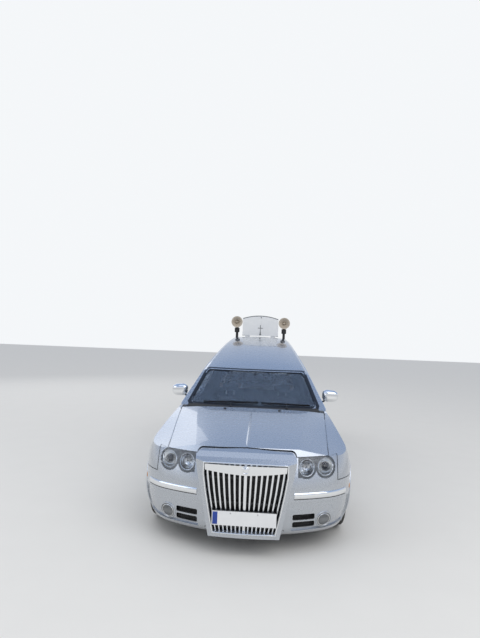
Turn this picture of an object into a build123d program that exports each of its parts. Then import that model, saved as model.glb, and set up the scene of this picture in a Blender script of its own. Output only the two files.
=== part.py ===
from build123d import *
import math
import os

os.makedirs("parts", exist_ok=True)

# Millimetres. The nose faces -Y, +Z is up and +X is the driver's side.
# Distances called "back" are measured behind the foremost point of the car.

# Overall sizes
length = 5980
body_width = 1881
wheelbase = 4030
front_overhang = 905
track = 1600
ground_clearance = 165
belt_height = 985

# Wheels and tyres
tyre_radius = 363.5
tyre_width = 225
rim_radius = 228
rim_width = 215
hub_radius = 78
hub_face_inset = 30
stub_radius = 22
spoke_pairs = 5
disc_radius = 160
disc_thickness = 24

# Walls, gaps and seats
panel_thickness = 24
door_thickness = 80
side_thickness = 90
pillar_thickness = 45
roof_thickness = 34
tailgate_thickness = 60
shut_gap = 6
door_gap = 6.5
seat_gap = 0.3
glass_thickness = 5
glass_recess = 6
trim_height = 7
side_start = 200
cowl_half_width = 785

# Wheel arches
arch_clearance = 31
arch_radius = tyre_radius + arch_clearance
flare_width = 30
flare_proud = 8.5
liner_radius = arch_radius + 30
liner_thickness = 5
front_liner_inner = 470
rear_liner_inner = 560

# Front of the car
bumper_top = 600
lamp_top = 790
lamp_inner = 430
lamp_outer_end = 775
lamp_outer_x = 667
lamp_inner_x = 503
lamp_bowl_end = 235
lamp_bowl_slant = 0.46
lamp_centre_height = 707
lamp_bowl_radius = 62
lamp_outline_radius = 86
lamp_depth = 105
lens_thickness = 4
lamp_air = 6
fog_x = 661
fog_height = 274
fog_radius = 60
slot_inner_x = 394
slot_outer_x = 580
slot_bottom = 226
slot_top = 338
slot_bar = 14
strip_bottom = 474
strip_top = 522
strip_inner_x = 380
strip_end = 352
step_depth = 12
step_top = 448
surround_gap = 4
surround_corner = 45
surround_depth = 95
grille_bar_count = 15
grille_pitch = 41
grille_bar_width = 21
grille_bar_depth = 26
plate_width = 520
plate_height = 112
plate_centre_height = 318
plate_thickness = 4

# Windscreen and tail
screen_base_height = 997
screen_base_back = 1549
screen_top_height = 1373
screen_top_back = 2251
screen_corner_x = 754
screen_sweep = 140
tail_back = length - 75
tail_slope = 0.47
tail_sweep = 90
cabin_lean = 0.46
roof_edge_x = 640
upper_base = 905
roof_corner_radius = 60
roof_edge_drop = 55
hood_front_x = 695
hood_side_flare = 0.0745
hood_side_start = 300
hood_rear_corner = 1395
hood_rear_centre = 1315
door_front = 1620
door_rear = 2900
door_bottom = 300
door_edge_slant = 0.35
tailgate_hinge_height = 1700
hinge_lift = 6
tailgate_bottom = 585
bumper_rear_top = 578
screen_bottom_edge = 1004

# Load space
deck_height = 830
deck_thickness = 30
deck_front = 3230
deck_rear = length - 280
deck_half_width = 730
partition_back = 3150
lip_depth = 10
lip_reach = 14
partition_thickness = 30
post_inner = 742
post_front = 1470

# Sign and horns
sign_back = 4800
sign_width = 640
sign_thickness = 80
sign_bottom = 1790
sign_shoulder = 2095
sign_top = 2150
horn_gap = 7
horn_height = 2030
horn_radius = 100

front_axle = front_overhang
rear_axle = front_overhang + wheelbase
half_width = body_width / 2
wheel_x = track / 2

# Outline of the lower body at rising heights. Columns: height, back of the nose, sweep of the nose,
# half width, narrowing to the front, distance of the tail ahead of the car's rearmost point.
waterlines = [
    (ground_clearance, 95, 330, 868, 6, 55),
    (300, 42, 318, 908, 6, 14),
    (440, 25, 312, 925, 6, 0),
    (580, 35, 310, 932, 8, 10),
    (710, 78, 308, 931, 12, 32),
    (830, 128, 304, 917, 42, 49),
    (940, 205, 298, 868, 60, 66),
    (1060, 320, 290, 780, 60, 85),
]
nose_corner = 430
tail_corner = 200
tail_narrowing = 20
lower_tail_sweep = 120

# Rails under the body
rail_bottom = 440
rail_top = 530
rail_inner = 400
beam_back = 240

# Grille, trim and inside
grille_bow = 2600
grille_recess = 26
grille_carriers = (230, 420, 620)
rail_drop = 26
rail_width = 26
firewall_back = 1465
floor_bottom = 178
floor_top = 203
rear_floor = 460
tunnel_top = 330
tunnel_half = 150
floor_sheet = 20
rear_rail_bottom = 370
engine_rear = 1050
engine_top = 790
pipe_x = -60
pipe_height = 235
pipe_radius = 28
tip_x = -300
tip_height = 250
tip_radius = 30
tip_end = length - 50
outlet_radius = 42
seat_base = 330
seat_top = 480
seat_tilt = 17
seat_width = 500
back_shift = 44.7
back_drop = 19.5
upright_x = 697
spoke_root = 17
spoke_tip = 12
spoke_spread = 11
wheel_hub_x = 370
wheel_hub_back = 2290
wheel_hub_height = 870
column_tilt = 24
roller_count = 8
roller_radius = 14
mirror_x = 924
mirror_back = 2050
mirror_height = 1093
wiper_height = 18

# Top of the nose. Columns: back, height at the middle, crease x, crease height, height at the edge.
hood_lines = [
    (-60, 822, 398, 800, 715),
    (200, 868, 436, 845, 753),
    (750, 948, 515, 924, 867),
    (1385, 1018, 606, 997, 975),
    (1600, 1038, 637, 1016, 990),
]
hood_edge_x = 780

# Roof. Columns: back, height of the side edge, rise of the crown.
roof_lines = [
    (1400, 1105, 20),
    (1900, 1262, 28),
    (2250, 1373, 33),
    (2800, 1504, 33),
    (3350, 1608, 30),
    (3900, 1684, 28),
    (4450, 1733, 27),
    (5000, 1750, 27),
    (5500, 1744, 25),
    (6000, 1722, 22),
]


def at(back):
    return back - length / 2


def side_prism(points, x0, x1, radius=0):
    outline = make_face(Polyline(*[(at(back), z) for back, z in points], close=True))
    if radius:
        outline = fillet(outline.vertices(), radius)
    return extrude(Plane.YZ.offset(x0) * outline, amount=x1 - x0)


def front_face(points, radius=0):
    outline = make_face(Polyline(*points, close=True))
    if radius:
        outline = fillet(outline.vertices(), radius)
    return outline


def along(face, back0, back1):
    return extrude(Plane.XZ.offset(-at(back0)) * face, amount=back0 - back1)


def block(x0, x1, back0, back1, z0, z1):
    corner = (x0 + x1) / 2, at((back0 + back1) / 2), (z0 + z1) / 2
    return Pos(*corner) * Box(abs(x1 - x0), abs(back1 - back0), abs(z1 - z0))


def axle_disc(back, x0, x1, radius, z=tyre_radius):
    turned = Pos((x0 + x1) / 2, at(back), z) * Rot(0, 90, 0)
    return turned * Cylinder(radius, abs(x1 - x0))


def offset_block(shape, gap):
    box = shape.bounding_box()
    low, high = box.min, box.max
    size = high - low
    return Pos(*((low + high) * 0.5)) * Box(size.X - 2 * gap, size.Y - 2 * gap, size.Z - 2 * gap)


def mirrored(shape):
    return mirror(shape, about=Plane.YZ)


def pair(shape):
    return Compound(shape.solids() + mirrored(shape).solids())


def biggest(shape):
    return max(shape.solids(), key=lambda solid: solid.volume)


def waterline(row, inset):
    height, nose, nose_sweep, half, narrowing, tail_ahead = row
    tail = length - tail_ahead
    front_x = half - narrowing - inset
    rear_x = half - tail_narrowing - inset
    nose_y = at(nose) + inset
    tail_y = at(tail) - inset
    front = ThreePointArc((-front_x, nose_y + nose_sweep), (0, nose_y), (front_x, nose_y + nose_sweep))
    right = ThreePointArc((front_x, nose_y + nose_sweep), (half - inset, 0), (rear_x, tail_y - lower_tail_sweep))
    rear = ThreePointArc((rear_x, tail_y - lower_tail_sweep), (0, tail_y), (-rear_x, tail_y - lower_tail_sweep))
    left = ThreePointArc((-rear_x, tail_y - lower_tail_sweep), (inset - half, 0), (-front_x, nose_y + nose_sweep))
    outline = make_face([front, right, rear, left])
    corner = nose_corner - inset / 2
    outline = fillet([v for v in outline.vertices() if v.Y < 0], corner)
    corner = tail_corner - inset / 2
    tips = [v for v in outline.vertices() if v.Y > at(tail) - inset - lower_tail_sweep - 5 and abs(v.X) > rear_x - 1]
    outline = fillet(tips, corner)
    return Pos(0, 0, height) * outline


def hood_section(row, inset):
    back, middle, crease_x, crease, edge = row
    reach = 1100
    slope = (crease - edge) / (hood_edge_x - crease_x)
    end = edge - slope * (reach - hood_edge_x) - inset
    lines = [
        Line((-reach, end), (-crease_x, crease - inset)),
        ThreePointArc((-crease_x, crease - inset), (0, middle - inset), (crease_x, crease - inset)),
        Polyline((crease_x, crease - inset), (reach, end), (reach, 1400), (-reach, 1400), (-reach, end)),
    ]
    return Plane.XZ.offset(-at(back)) * make_face(lines)


def lower_form(inset):
    hull = loft([waterline(row, inset) for row in waterlines])
    hull -= loft([hood_section(row, inset) for row in hood_lines])
    return hull - block(-1000, 1000, 1470, 6200, belt_height, 1200)


def roof_section(row, inset):
    back, edge, crown = row
    base_x = roof_edge_x + cabin_lean * (screen_top_height - upper_base) - inset
    edge_x = roof_edge_x - cabin_lean * (edge - screen_top_height) - inset
    edge_z = edge - inset
    lines = [
        Line((-base_x, upper_base), (base_x, upper_base)),
        Line((base_x, upper_base), (edge_x, edge_z)),
        ThreePointArc((edge_x, edge_z), (0, edge_z + crown), (-edge_x, edge_z)),
        Line((-edge_x, edge_z), (-base_x, upper_base)),
    ]
    outline = make_face(lines)
    outline = fillet([v for v in outline.vertices() if v.Y > upper_base + 1], roof_corner_radius - inset / 4)
    return Plane.XZ.offset(-at(back)) * outline


def swept_plan(back, sweep, corner_x, toward, base, slope, amount):
    reach = 1000
    far = back + sweep * (reach / corner_x) ** 2
    arc = ThreePointArc((-reach, at(far)), (0, at(back)), (reach, at(far)))
    rest = Polyline((reach, at(far)), (reach, at(toward)), (-reach, at(toward)), (-reach, at(far)))
    face = Pos(0, 0, base) * make_face([arc, rest])
    run = math.hypot(slope, 1)
    return extrude(face, amount=amount * run, dir=(0, slope / run, 1 / run))


def ahead_of_screen(inset):
    slope = (screen_top_back - screen_base_back) / (screen_top_height - screen_base_height)
    base = 900
    back = screen_base_back - screen_sweep + (base - screen_base_height) * slope
    return swept_plan(back + inset * math.hypot(slope, 1), screen_sweep, screen_corner_x, -900, base, slope, 900)


def behind_tail(inset):
    base = 900
    back = tail_back + (belt_height - base) * tail_slope
    return swept_plan(back - inset * math.hypot(tail_slope, 1), -tail_sweep, 800, 7000, base, -tail_slope, 1100)


def upper_form(inset):
    hull = loft([roof_section(row, inset) for row in roof_lines])
    return hull - ahead_of_screen(inset) - behind_tail(inset)


def edge_height(back):
    for (b0, z0, _), (b1, z1, _) in zip(roof_lines, roof_lines[1:]):
        if b0 <= back <= b1:
            return z0 + (z1 - z0) * (back - b0) / (b1 - b0)
    return roof_lines[-1][1]


print("forms")
lower_outer = lower_form(0)
upper_outer = upper_form(0)
lower_panel = lower_form(panel_thickness)
lower_side = lower_form(side_thickness)
lower_door = lower_form(door_thickness)
upper_pillar = upper_form(pillar_thickness)
upper_roof = upper_form(roof_thickness)

nodes = {}


def flare(back):
    """Lip around a left wheel arch, standing a little proud of the body side."""
    cone = Cone(arch_radius + 2 * flare_width, arch_radius, 200)
    ring = Pos(half_width - 60, at(back), tyre_radius) * Rot(0, 90, 0) * cone
    ring -= axle_disc(back, half_width - 200, half_width + 100, arch_radius)
    return biggest(ring & flare_skin & block(0, 1000, back - 600, back + 600, ground_clearance, 900))


# Regions of the panels, seen from the side (back, height) and from the front (x, height)
far_back = length + 300
rake = (screen_top_back - screen_base_back) / (screen_top_height - screen_base_height)
pillar_run = 150
door_top_run = 640
window_run = 500
door_top_bend = 2620
door_top_drop = 62
window_frame = 46
door_outline = [
    (door_front, door_bottom),
    (door_front, belt_height),
    (screen_base_back + pillar_run, belt_height),
    (screen_base_back + pillar_run + door_top_run, screen_base_height + door_top_run / rake - 4),
    (door_top_bend, edge_height(door_top_bend) - door_top_drop),
    (door_rear, edge_height(door_rear) - door_top_drop),
    (door_rear, door_bottom),
]
window_bottom = belt_height + 30
window_front = screen_base_back + pillar_run + 105
window_rear = door_rear - window_frame
window_drop = door_top_drop + window_frame
door_window = [
    (window_front, window_bottom),
    (window_front + window_run, window_bottom + window_run / rake),
    (door_top_bend, edge_height(door_top_bend) - window_drop),
    (window_rear, edge_height(window_rear) - window_drop),
    (window_rear, window_bottom),
]
side_window_front = door_rear + 125
side_window_rear = length - 540
side_window_drop = 105
roof_kinks = (3350, 3900, 4450, 5000)
side_window = [(side_window_front, window_bottom)]
side_window += [(b, edge_height(b) - side_window_drop) for b in (side_window_front, *roof_kinks, side_window_rear)]
side_window += [(side_window_rear + 90, window_bottom)]
tail_top = tailgate_hinge_height + hinge_lift
roof_rear = length - 500
roof_backs = (2190, 2500, 2800, *roof_kinks, length - 680)
roof_outline = [(back, edge_height(back) - roof_edge_drop) for back in roof_backs]
roof_outline += [(roof_rear, tail_top + shut_gap), (far_back, tail_top + shut_gap), (far_back, 2000), (2190, 2000)]
screen_face = front_face([(-722, screen_bottom_edge), (722, screen_bottom_edge), (592, 1352), (-592, 1352)], 45)
tail_half_width = 640
tail_outline = [(390, tail_top), (410, 1480), (tail_half_width, belt_height), (700, 930), (700, tailgate_bottom)]
tail_window = [(330, 1628), (350, 1480), (565, 1030)]
tail_window_corner = 36
surround_points = [(288, ground_clearance), (320, 310), (356, 500), (396, 665), (412, 765), (410, 833), (0, 852)]
opening_points = [(248, 205), (283, 360), (316, 520), (338, 660), (338, 745)]


def both_sides(points):
    return points + [(-x, z) for x, z in reversed(points) if x]


def grille_face(points, gap):
    outline = front_face(both_sides(points))
    tips = [v for v in outline.vertices() if v.Y > lamp_top and abs(v.X) > lamp_inner / 2]
    outline = fillet(tips, surround_corner) if tips else outline
    return offset(outline, amount=gap, kind=Kind.INTERSECTION) if gap else outline


def tail_face(gap):
    outline = front_face(both_sides(tail_outline))
    return offset(outline, amount=gap, kind=Kind.INTERSECTION) if gap else outline


tail_window_face = front_face(both_sides(tail_window), tail_window_corner)


def lamp_face(gap):
    outline = Pos(lamp_outer_x, lamp_centre_height) * Circle(lamp_outline_radius)
    outline += Pos(lamp_inner_x, lamp_centre_height) * Circle(lamp_outline_radius - 4)
    top = Pos((lamp_inner_x + lamp_outer_x) / 2, (lamp_top + lamp_centre_height) / 2)
    outline += top * Rectangle(lamp_outer_x - lamp_inner_x + 70, lamp_top - lamp_centre_height)
    inner = Pos((lamp_inner + lamp_inner_x) / 2, (lamp_top + lamp_centre_height - 70) / 2)
    outline += inner * Rectangle(lamp_inner_x - lamp_inner, lamp_top - lamp_centre_height + 70)
    outline &= Pos(lamp_inner + 300, 650) * Rectangle(600, 2 * (lamp_top - 650))
    return offset(outline, amount=gap) if gap else outline


def rail_band(drop, width):
    line = [(screen_base_back + 12, screen_base_height), (screen_top_back + 20, screen_top_height - 2)]
    line += [(b, edge_height(b)) for b in (2500, 2800, *roof_kinks, length - 460)]
    upper = [(b, z - drop) for b, z in line]
    lower = [(b, z - drop - width) for b, z in line]
    return side_prism(upper + lower[::-1], 0, 1000)


def hood_region(gap):
    """The hood seen from above, drawn in by a gap, as a tall prism."""
    edge_front = hood_front_x - gap
    rear_corner = hood_rear_corner - gap
    edge_rear = edge_front + (rear_corner - hood_side_start) * hood_side_flare
    front = -100
    start = edge_front + (front - hood_side_start) * hood_side_flare
    right = Line((start, at(front)), (edge_rear, at(rear_corner)))
    rear = ThreePointArc((edge_rear, at(rear_corner)), (0, at(hood_rear_centre - gap)), (-edge_rear, at(rear_corner)))
    left = Line((-edge_rear, at(rear_corner)), (-start, at(front)))
    nose = Line((-start, at(front)), (start, at(front)))
    plan = Pos(0, 0, lamp_top + gap) * make_face([right, rear, left, nose])
    region = extrude(plan, amount=400)
    return region - along(grille_face(surround_points, surround_gap + gap), -200, 500)


def door_region(gap):
    """The door opening, grown by a gap. Its rear edge slants so that the door swings clear."""
    rear = door_rear + gap
    outline = [(back + (400 if back == door_rear else 0), z) for back, z in door_outline]
    outline = offset(make_face(Polyline(*[(at(b), z) for b, z in outline], close=True)), amount=gap)
    region = extrude(Plane.YZ.offset(side_start) * outline, amount=900)
    upper_lean = roof_edge_x + cabin_lean * (screen_top_height - belt_height)
    for anchor_x, z0, z1, lean in (
        (half_width - 10, ground_clearance, belt_height, 0),
        (upper_lean, belt_height, 1700, cabin_lean),
    ):
        plan = [(x, rear + door_edge_slant * (x - anchor_x)) for x in (-200, 1400)]
        plan += [(1400, rear + 1000), (-200, rear + 1000)]
        face = Pos(0, 0, z0) * make_face(Polyline(*[(x, at(b)) for x, b in plan], close=True))
        run = math.hypot(lean, 1)
        region -= extrude(face, amount=(z1 - z0) * run, dir=(-lean / run, 0, 1 / run))
    return region


def window_prism(points, inset):
    outline = make_face(Polyline(*[(at(b), z) for b, z in points], close=True))
    outline = fillet(outline.vertices(), 35)
    if inset:
        outline = offset(outline, amount=-inset)
    return extrude(Plane.YZ.offset(side_start) * outline, amount=900)


print("outer shell with flares")
flare_skin = lower_form(-flare_proud)
flares = flare(front_axle) + flare(rear_axle)
arch_cut = axle_disc(front_axle, 0, 1000, arch_radius) + axle_disc(rear_axle, 0, 1000, arch_radius)
liner_cut = axle_disc(front_axle, 0, 1000, liner_radius + 1) + axle_disc(rear_axle, 0, 1000, liner_radius + 1)
left_room = block(side_start, 1100, -200, far_back, 0, 2300)
left_outer = biggest((lower_outer & left_room) + flares)
front_left = left_outer & block(0, 1100, -200, door_front - door_gap, 0, 1200)
front_skin = front_left - lower_panel - arch_cut
rear_room = block(0, 1100, door_front, far_back, 0, belt_height)
rear_left = (left_outer & rear_room) - lower_side - arch_cut - (liner_cut & lower_panel)

print("hood")
nodes["hood"] = biggest((lower_outer & hood_region(shut_gap / 2)) - lower_panel)

print("front fender")
hood_opening = hood_region(-shut_gap / 2)
surround_opening = along(grille_face(surround_points, surround_gap), -200, 500)
lamp_hole = along(lamp_face(seat_gap), -200, 700)
fender_bottom = bumper_top + shut_gap / 2
fender_zone = block(0, 1000, 0, door_front, fender_bottom, 1100)
fender_zone += block(0, 1000, front_axle + 200, door_front, ground_clearance, fender_bottom + 1)
fender = front_skin & fender_zone
fender -= [
    hood_opening,
    surround_opening,
    block(0, lamp_outer_end + shut_gap / 2, -100, 480, 0, lamp_top),
    lamp_hole,
    block(0, cowl_half_width, 1330, 1700, 800, 1100),
]
flange_zone = block(200, 1000, 520, 1250, 700, 1100)
flange_outer = lower_form(panel_thickness + seat_gap)
flange_inner = lower_form(panel_thickness + lip_depth)
flange_root = (lower_form(panel_thickness - 4) & (hood_region(-2 * lip_reach) - hood_region(-shut_gap / 2 - 1)) & flange_zone)
flange = (flange_outer & (hood_region(-2 * lip_reach) - hood_region(lip_reach)) & flange_zone)
fender = biggest(fender + ((flange_root + flange) - flange_inner))
nodes["front_fenders"] = pair(fender)

print("front bumper")
bumper_zone = block(0, 1000, -100, 650, ground_clearance, bumper_top - shut_gap / 2)
bumper_zone += block(0, lamp_outer_end - shut_gap / 2, -100, 480, bumper_top - 10, lamp_top - 1)
bumper = front_skin & bumper_zone
step_zone = block(slot_inner_x - 10, 1000, -100, 500, ground_clearance + 35, step_top)
slot_gap = (slot_top - slot_bottom - slot_bar) / 2
cuts = [lamp_hole, hood_opening, surround_opening, (lower_outer & step_zone) - lower_form(step_depth)]
cuts.append(along(Pos(fog_x, fog_height) * Circle(fog_radius + seat_gap), -200, 500))
for low in (slot_bottom, slot_top - slot_gap):
    high = low + slot_gap
    slot = front_face([(slot_inner_x, low), (slot_outer_x, low), (slot_outer_x, high), (slot_inner_x, high)], 12)
    cuts.append(along(slot, -200, 500))
bumper -= cuts
beam_front = beam_back - 50
bumper = biggest(bumper)
bumper += block(440, 540, 110, beam_front + 10, rail_bottom, rail_top) & lower_form(panel_thickness - 4)
bumper += block(0, 560, beam_front, beam_back, rail_bottom, rail_top)
nodes["front_bumper"] = biggest(bumper + mirrored(bumper))

print("doors")
door_zone = block(side_start, 1100, door_front - 60, door_rear + 250, door_bottom - 20, 1700)
door_opening = door_region(door_gap)
door_shape = door_region(0) & door_zone
door_lower = (lower_outer & door_shape & block(0, 1100, 0, far_back, 0, belt_height)) - lower_door
door_upper = (upper_outer & door_shape & block(0, 1100, 0, far_back, belt_height - 1, 1700)) - upper_pillar
door = biggest((door_lower + door_upper) - window_prism(door_window, 0))
nodes["door_left"] = door
nodes["door_right"] = mirrored(door)

print("glass")
glass_outer = upper_form(glass_recess)
glass_inner = upper_form(glass_recess + glass_thickness)
door_pane = biggest((glass_outer & window_prism(door_window, seat_gap)) - glass_inner)
nodes["door_glass_left"] = door_pane
nodes["door_glass_right"] = mirrored(door_pane)
nodes["side_windows"] = pair(biggest((glass_outer & window_prism(side_window, seat_gap)) - glass_inner))
screen_pane = offset(screen_face, amount=-seat_gap)
nodes["windscreen"] = biggest((glass_outer & along(screen_pane, 1200, 2500)) - glass_inner)
tail_pane = offset(tail_window_face, amount=-seat_gap)
nodes["tailgate_glass"] = biggest((glass_outer & along(tail_pane, length - 680, far_back)) - glass_inner)

print("body sides")
lamp_block = block(732, 1000, length - 220, far_back, 625, 900)
roof_zone = side_prism(roof_outline, -1000, 1000) + block(-side_start, side_start, 2000, 2195, 1300, 1500)
tail_opening = along(tail_face(shut_gap), length - 780, far_back)
rear_bumper_zone = block(-1100, 1100, rear_axle + 200, far_back, 0, bumper_rear_top)
screen_opening = along(screen_face, 1200, 2500)
hinge_post = lower_form(panel_thickness + shut_gap)
hinge_post &= block(post_inner, 1100, post_front, door_front + 5, ground_clearance, belt_height)
post_top = block(post_inner, cowl_half_width - shut_gap / 2, post_front + 30, door_front - door_gap, belt_height - 50, belt_height + 5)
upper_zone = block(side_start, 1100, 1300, far_back, belt_height, 2000) + block(side_start, 1100, door_front, far_back, belt_height - 1, 2000)
upper_part = (upper_outer & upper_zone) - upper_pillar
upper_part -= [
    block(0, 735, 1000, 1900, 900, screen_bottom_edge),
    screen_opening,
    roof_zone,
    window_prism(side_window, 0),
]
gate_seat = tailgate_thickness + seat_gap
gate_seat_zone = block(0, 1000, length - 680, far_back, tailgate_bottom + 20, 1500)
gate_band = along(tail_face(2 * lip_reach), length - 780, far_back) - along(tail_face(-lip_reach), length - 780, far_back)
gate_band &= gate_seat_zone & block(side_start, 1000, 0, far_back, belt_height + 4, 2000)
gate_lip = (upper_form(gate_seat) & gate_band) - upper_form(gate_seat + 2 * lip_depth)
gate_root = (upper_form(pillar_thickness - 4) & (gate_band - tail_opening)) - upper_form(gate_seat + 2 * lip_depth)
side = rear_left + (hinge_post - lower_side) + post_top + upper_part + gate_root
side -= [
    door_opening,
    rear_bumper_zone,
    block(-1100, 1100, rear_axle + 200, far_back, bumper_rear_top - 1, bumper_rear_top + shut_gap),
    tail_opening - gate_band,
    along(tail_face(shut_gap), length - 780, far_back) & upper_outer & (block(0, 1000, 0, far_back, 0, 2000) - upper_form(gate_seat)),
    lamp_block,
]
side = biggest(side + gate_lip)
door_band = door_region(door_gap + 1) - door_region(-lip_reach)
door_band &= block(side_start, 1100, 2000, door_rear + 100, door_bottom - 2 * lip_reach, belt_height - 30)
door_lip = (lower_form(door_thickness + seat_gap) & door_band) - lower_side
side = biggest(side + door_lip)
nodes["body_sides"] = pair(side)

print("tail")
lamp = (lower_outer & offset_block(lamp_block, seat_gap)) - lower_form(55)
nodes["rear_lamps"] = pair(biggest(lamp))
rear_half = (left_outer & rear_bumper_zone) - lower_panel - arch_cut
rear_middle = (lower_outer & rear_bumper_zone & block(-side_start, side_start, rear_axle, far_back, 0, 1000)) - lower_panel
outlet = along(Pos(tip_x, tip_height) * Circle(outlet_radius), length - 200, far_back)
nodes["rear_bumper"] = biggest((rear_half + rear_middle + mirrored(rear_half)) - outlet)
gate_shape = along(tail_face(0), length - 680, far_back) - along(tail_window_face, length - 780, far_back)
gate = (lower_outer & gate_shape & block(-800, 800, 0, far_back, 0, belt_height)) - lower_form(tailgate_thickness)
gate_top = upper_outer & gate_shape & block(-800, 800, 0, far_back, belt_height - 1, 2000)
gate += gate_top - upper_form(tailgate_thickness)
nodes["tailgate"] = biggest(gate)

print("roof")
roof = (upper_outer & roof_zone) - upper_roof - screen_opening
nodes["roof_panel"] = biggest(roof)

print("grille")
surround_profile = [
    (0, ground_clearance), (0, 640), (16, 740), (42, 792), (85, 828), (170, 862), (surround_depth, 600),
    (surround_depth, ground_clearance),
]
grille_back = at(grille_bow)
bow = Pos(0, grille_back, 500) * Cylinder(grille_bow, 1200)
surround = along(grille_face(surround_points, 0), -50, 200) & side_prism(surround_profile, -500, 500) & bow
surround -= along(grille_face(opening_points, 0), -60, 300)
surround = biggest(surround)
for side in (1, -1):
    surround += block(side * 314, side * 342, 60, beam_front - seat_gap, rail_bottom + 10, rail_top - 10)
nodes["grille_surround"] = biggest(surround)
inner_bow = Pos(0, grille_back + grille_recess, 500) * Cylinder(grille_bow, 1200)
bars = None
for number in range(grille_bar_count):
    x = (number - (grille_bar_count - 1) / 2) * grille_pitch
    width = grille_bar_width + (10 if number == grille_bar_count // 2 else 0)
    bar = block(x - width / 2, x + width / 2, 0, grille_recess + grille_bar_depth, 150, 800)
    bars = bar if bars is None else bars + bar
bars = bars & inner_bow
carrier_front = grille_recess + 12
carrier_rear = grille_recess + grille_bar_depth + 8
for height in grille_carriers:
    bars += block(-400, 400, carrier_front, carrier_rear, height, height + 12)
bars &= along(grille_face(opening_points, -seat_gap), -60, 300)
nodes["grille_bars"] = biggest(bars)
top_bar = Plane.XZ.offset(-at(-20)) * make_face([
    Line((-332, 690), (-338, 738)),
    Line((-338, 738), (338, 738)),
    Line((338, 738), (332, 690)),
    ThreePointArc((332, 690), (170, 672), (0, 662)),
    ThreePointArc((0, 662), (-170, 672), (-332, 690)),
])
top_bar = extrude(top_bar, amount=-70)
bar_front = Pos(0, grille_back + 4, 500) * Cylinder(grille_bow, 1200)
top_bar = top_bar & bar_front & block(-400, 400, -20, grille_recess - seat_gap, 600, 800)
boss = Pos(0, at(8), 704) * Rot(90, 0, 0) * Cylinder(31, 16)
nodes["grille_top_bar"] = biggest(top_bar + boss)
plate_low = plate_centre_height - plate_height / 2
plate_high = plate_centre_height + plate_height / 2
nodes["number_plate"] = block(-plate_width / 2, plate_width / 2, 0, plate_thickness, plate_low, plate_high)
holder_front = plate_thickness + seat_gap
holder = block(10 - plate_width / 2, plate_width / 2 - 10, holder_front, carrier_rear, plate_low, plate_high)
holder -= Pos(0, grille_back + grille_recess - seat_gap, 500) * Cylinder(grille_bow, 1200)
nodes["plate_holder"] = biggest(holder)

print("trim")
lower_seat = lower_form(-seat_gap)
upper_seat = upper_form(-seat_gap)
strip_zone = block(strip_inner_x, half_width + 5, 0, strip_end, strip_bottom, strip_top)
strip = (lower_form(-trim_height) & strip_zone) - lower_seat
nodes["bumper_strips"] = pair(biggest(strip))
rail_zone = rail_band(rail_drop, rail_width) & block(side_start, 1000, 1560, length - 460, 990, 2000)
rail = (upper_form(-trim_height) & rail_zone) - upper_seat
nodes["roof_rails"] = pair(biggest(rail))

print("lamps")
lamp_prism = along(lamp_face(0), -50, 500)
housing = (lower_form(lens_thickness + lamp_air) & lamp_prism) - lower_form(lamp_depth)
for x, radius in ((lamp_outer_x, lamp_bowl_radius), (lamp_inner_x, lamp_bowl_radius - 2)):
    floor_back = lamp_bowl_end + (x - lamp_inner_x) * lamp_bowl_slant
    housing -= along(Pos(x, lamp_centre_height) * Circle(radius), -50, floor_back)
nodes["headlamp_housings"] = pair(biggest(housing))
lens = (lower_outer & lamp_prism & block(0, 1000, -50, 420, 0, 1000)) - lower_form(lens_thickness)
nodes["headlamp_lenses"] = pair(biggest(lens))
fog = (along(Pos(fog_x, fog_height) * Circle(fog_radius), -50, 320) & lower_form(8)) - lower_form(70)
nodes["fog_lamps"] = pair(biggest(fog))

print("body shell")
wheel_room = axle_disc(rear_axle, rear_liner_inner - 20, 1000, liner_radius + 12)
wheel_room += mirrored(wheel_room)
inner_side = lower_form(side_thickness + seat_gap)
inner_skin = lower_form(panel_thickness + seat_gap)
rear_floor_front = rear_axle - 495
rear_floor_end = length - 140
tunnel_roof = tunnel_top - floor_sheet
floor = block(-900, 900, firewall_back, rear_floor_front, floor_bottom, floor_top)
floor += block(-900, 900, rear_floor_front - floor_sheet, rear_floor_end, rear_floor - floor_sheet, rear_floor)
floor += block(-900, 900, rear_floor_front - floor_sheet, rear_floor_front, floor_bottom, rear_floor)
floor &= inner_side
floor += block(-tunnel_half, tunnel_half, firewall_back, rear_floor_front - 10, floor_bottom, tunnel_top)
tunnel_room = tunnel_half - 25
floor -= block(-tunnel_room, tunnel_room, firewall_back - 10, rear_floor_front + 10, 100, tunnel_roof)
floor -= wheel_room
firewall = block(-740, 740, firewall_back - floor_sheet, firewall_back, floor_bottom, upper_base)
firewall &= lower_form(panel_thickness + shut_gap + 1)
firewall -= block(-tunnel_room, tunnel_room, firewall_back - 30, firewall_back + 10, 100, tunnel_roof)
scuttle_half = 735 - seat_gap
scuttle = upper_outer & block(-scuttle_half, scuttle_half, 1150, 1750, upper_base, screen_bottom_edge - seat_gap)
plenum = block(-scuttle_half, scuttle_half, 1235, firewall_back, upper_base - 13, upper_base)
shell = floor + firewall + biggest(scuttle - upper_form(30)) + plenum
for side in (1, -1):
    shell += block(
        side * rail_inner, side * (front_liner_inner - seat_gap), beam_back + seat_gap, firewall_back, rail_bottom, rail_top)
    shell += block(side * 180, side * 560, 2330, 2760, floor_top - 5, seat_base)
    rear_rail = block(side * 470, side * 545, rear_floor_front, far_back, rear_rail_bottom, rear_rail_bottom + 80)
    shell += rear_rail & inner_skin
    shell += block(side * 470, side * 545, rear_floor_front, rear_floor_end, rear_rail_bottom, rear_floor - 5)
nodes["body_shell"] = biggest(shell)

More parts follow.
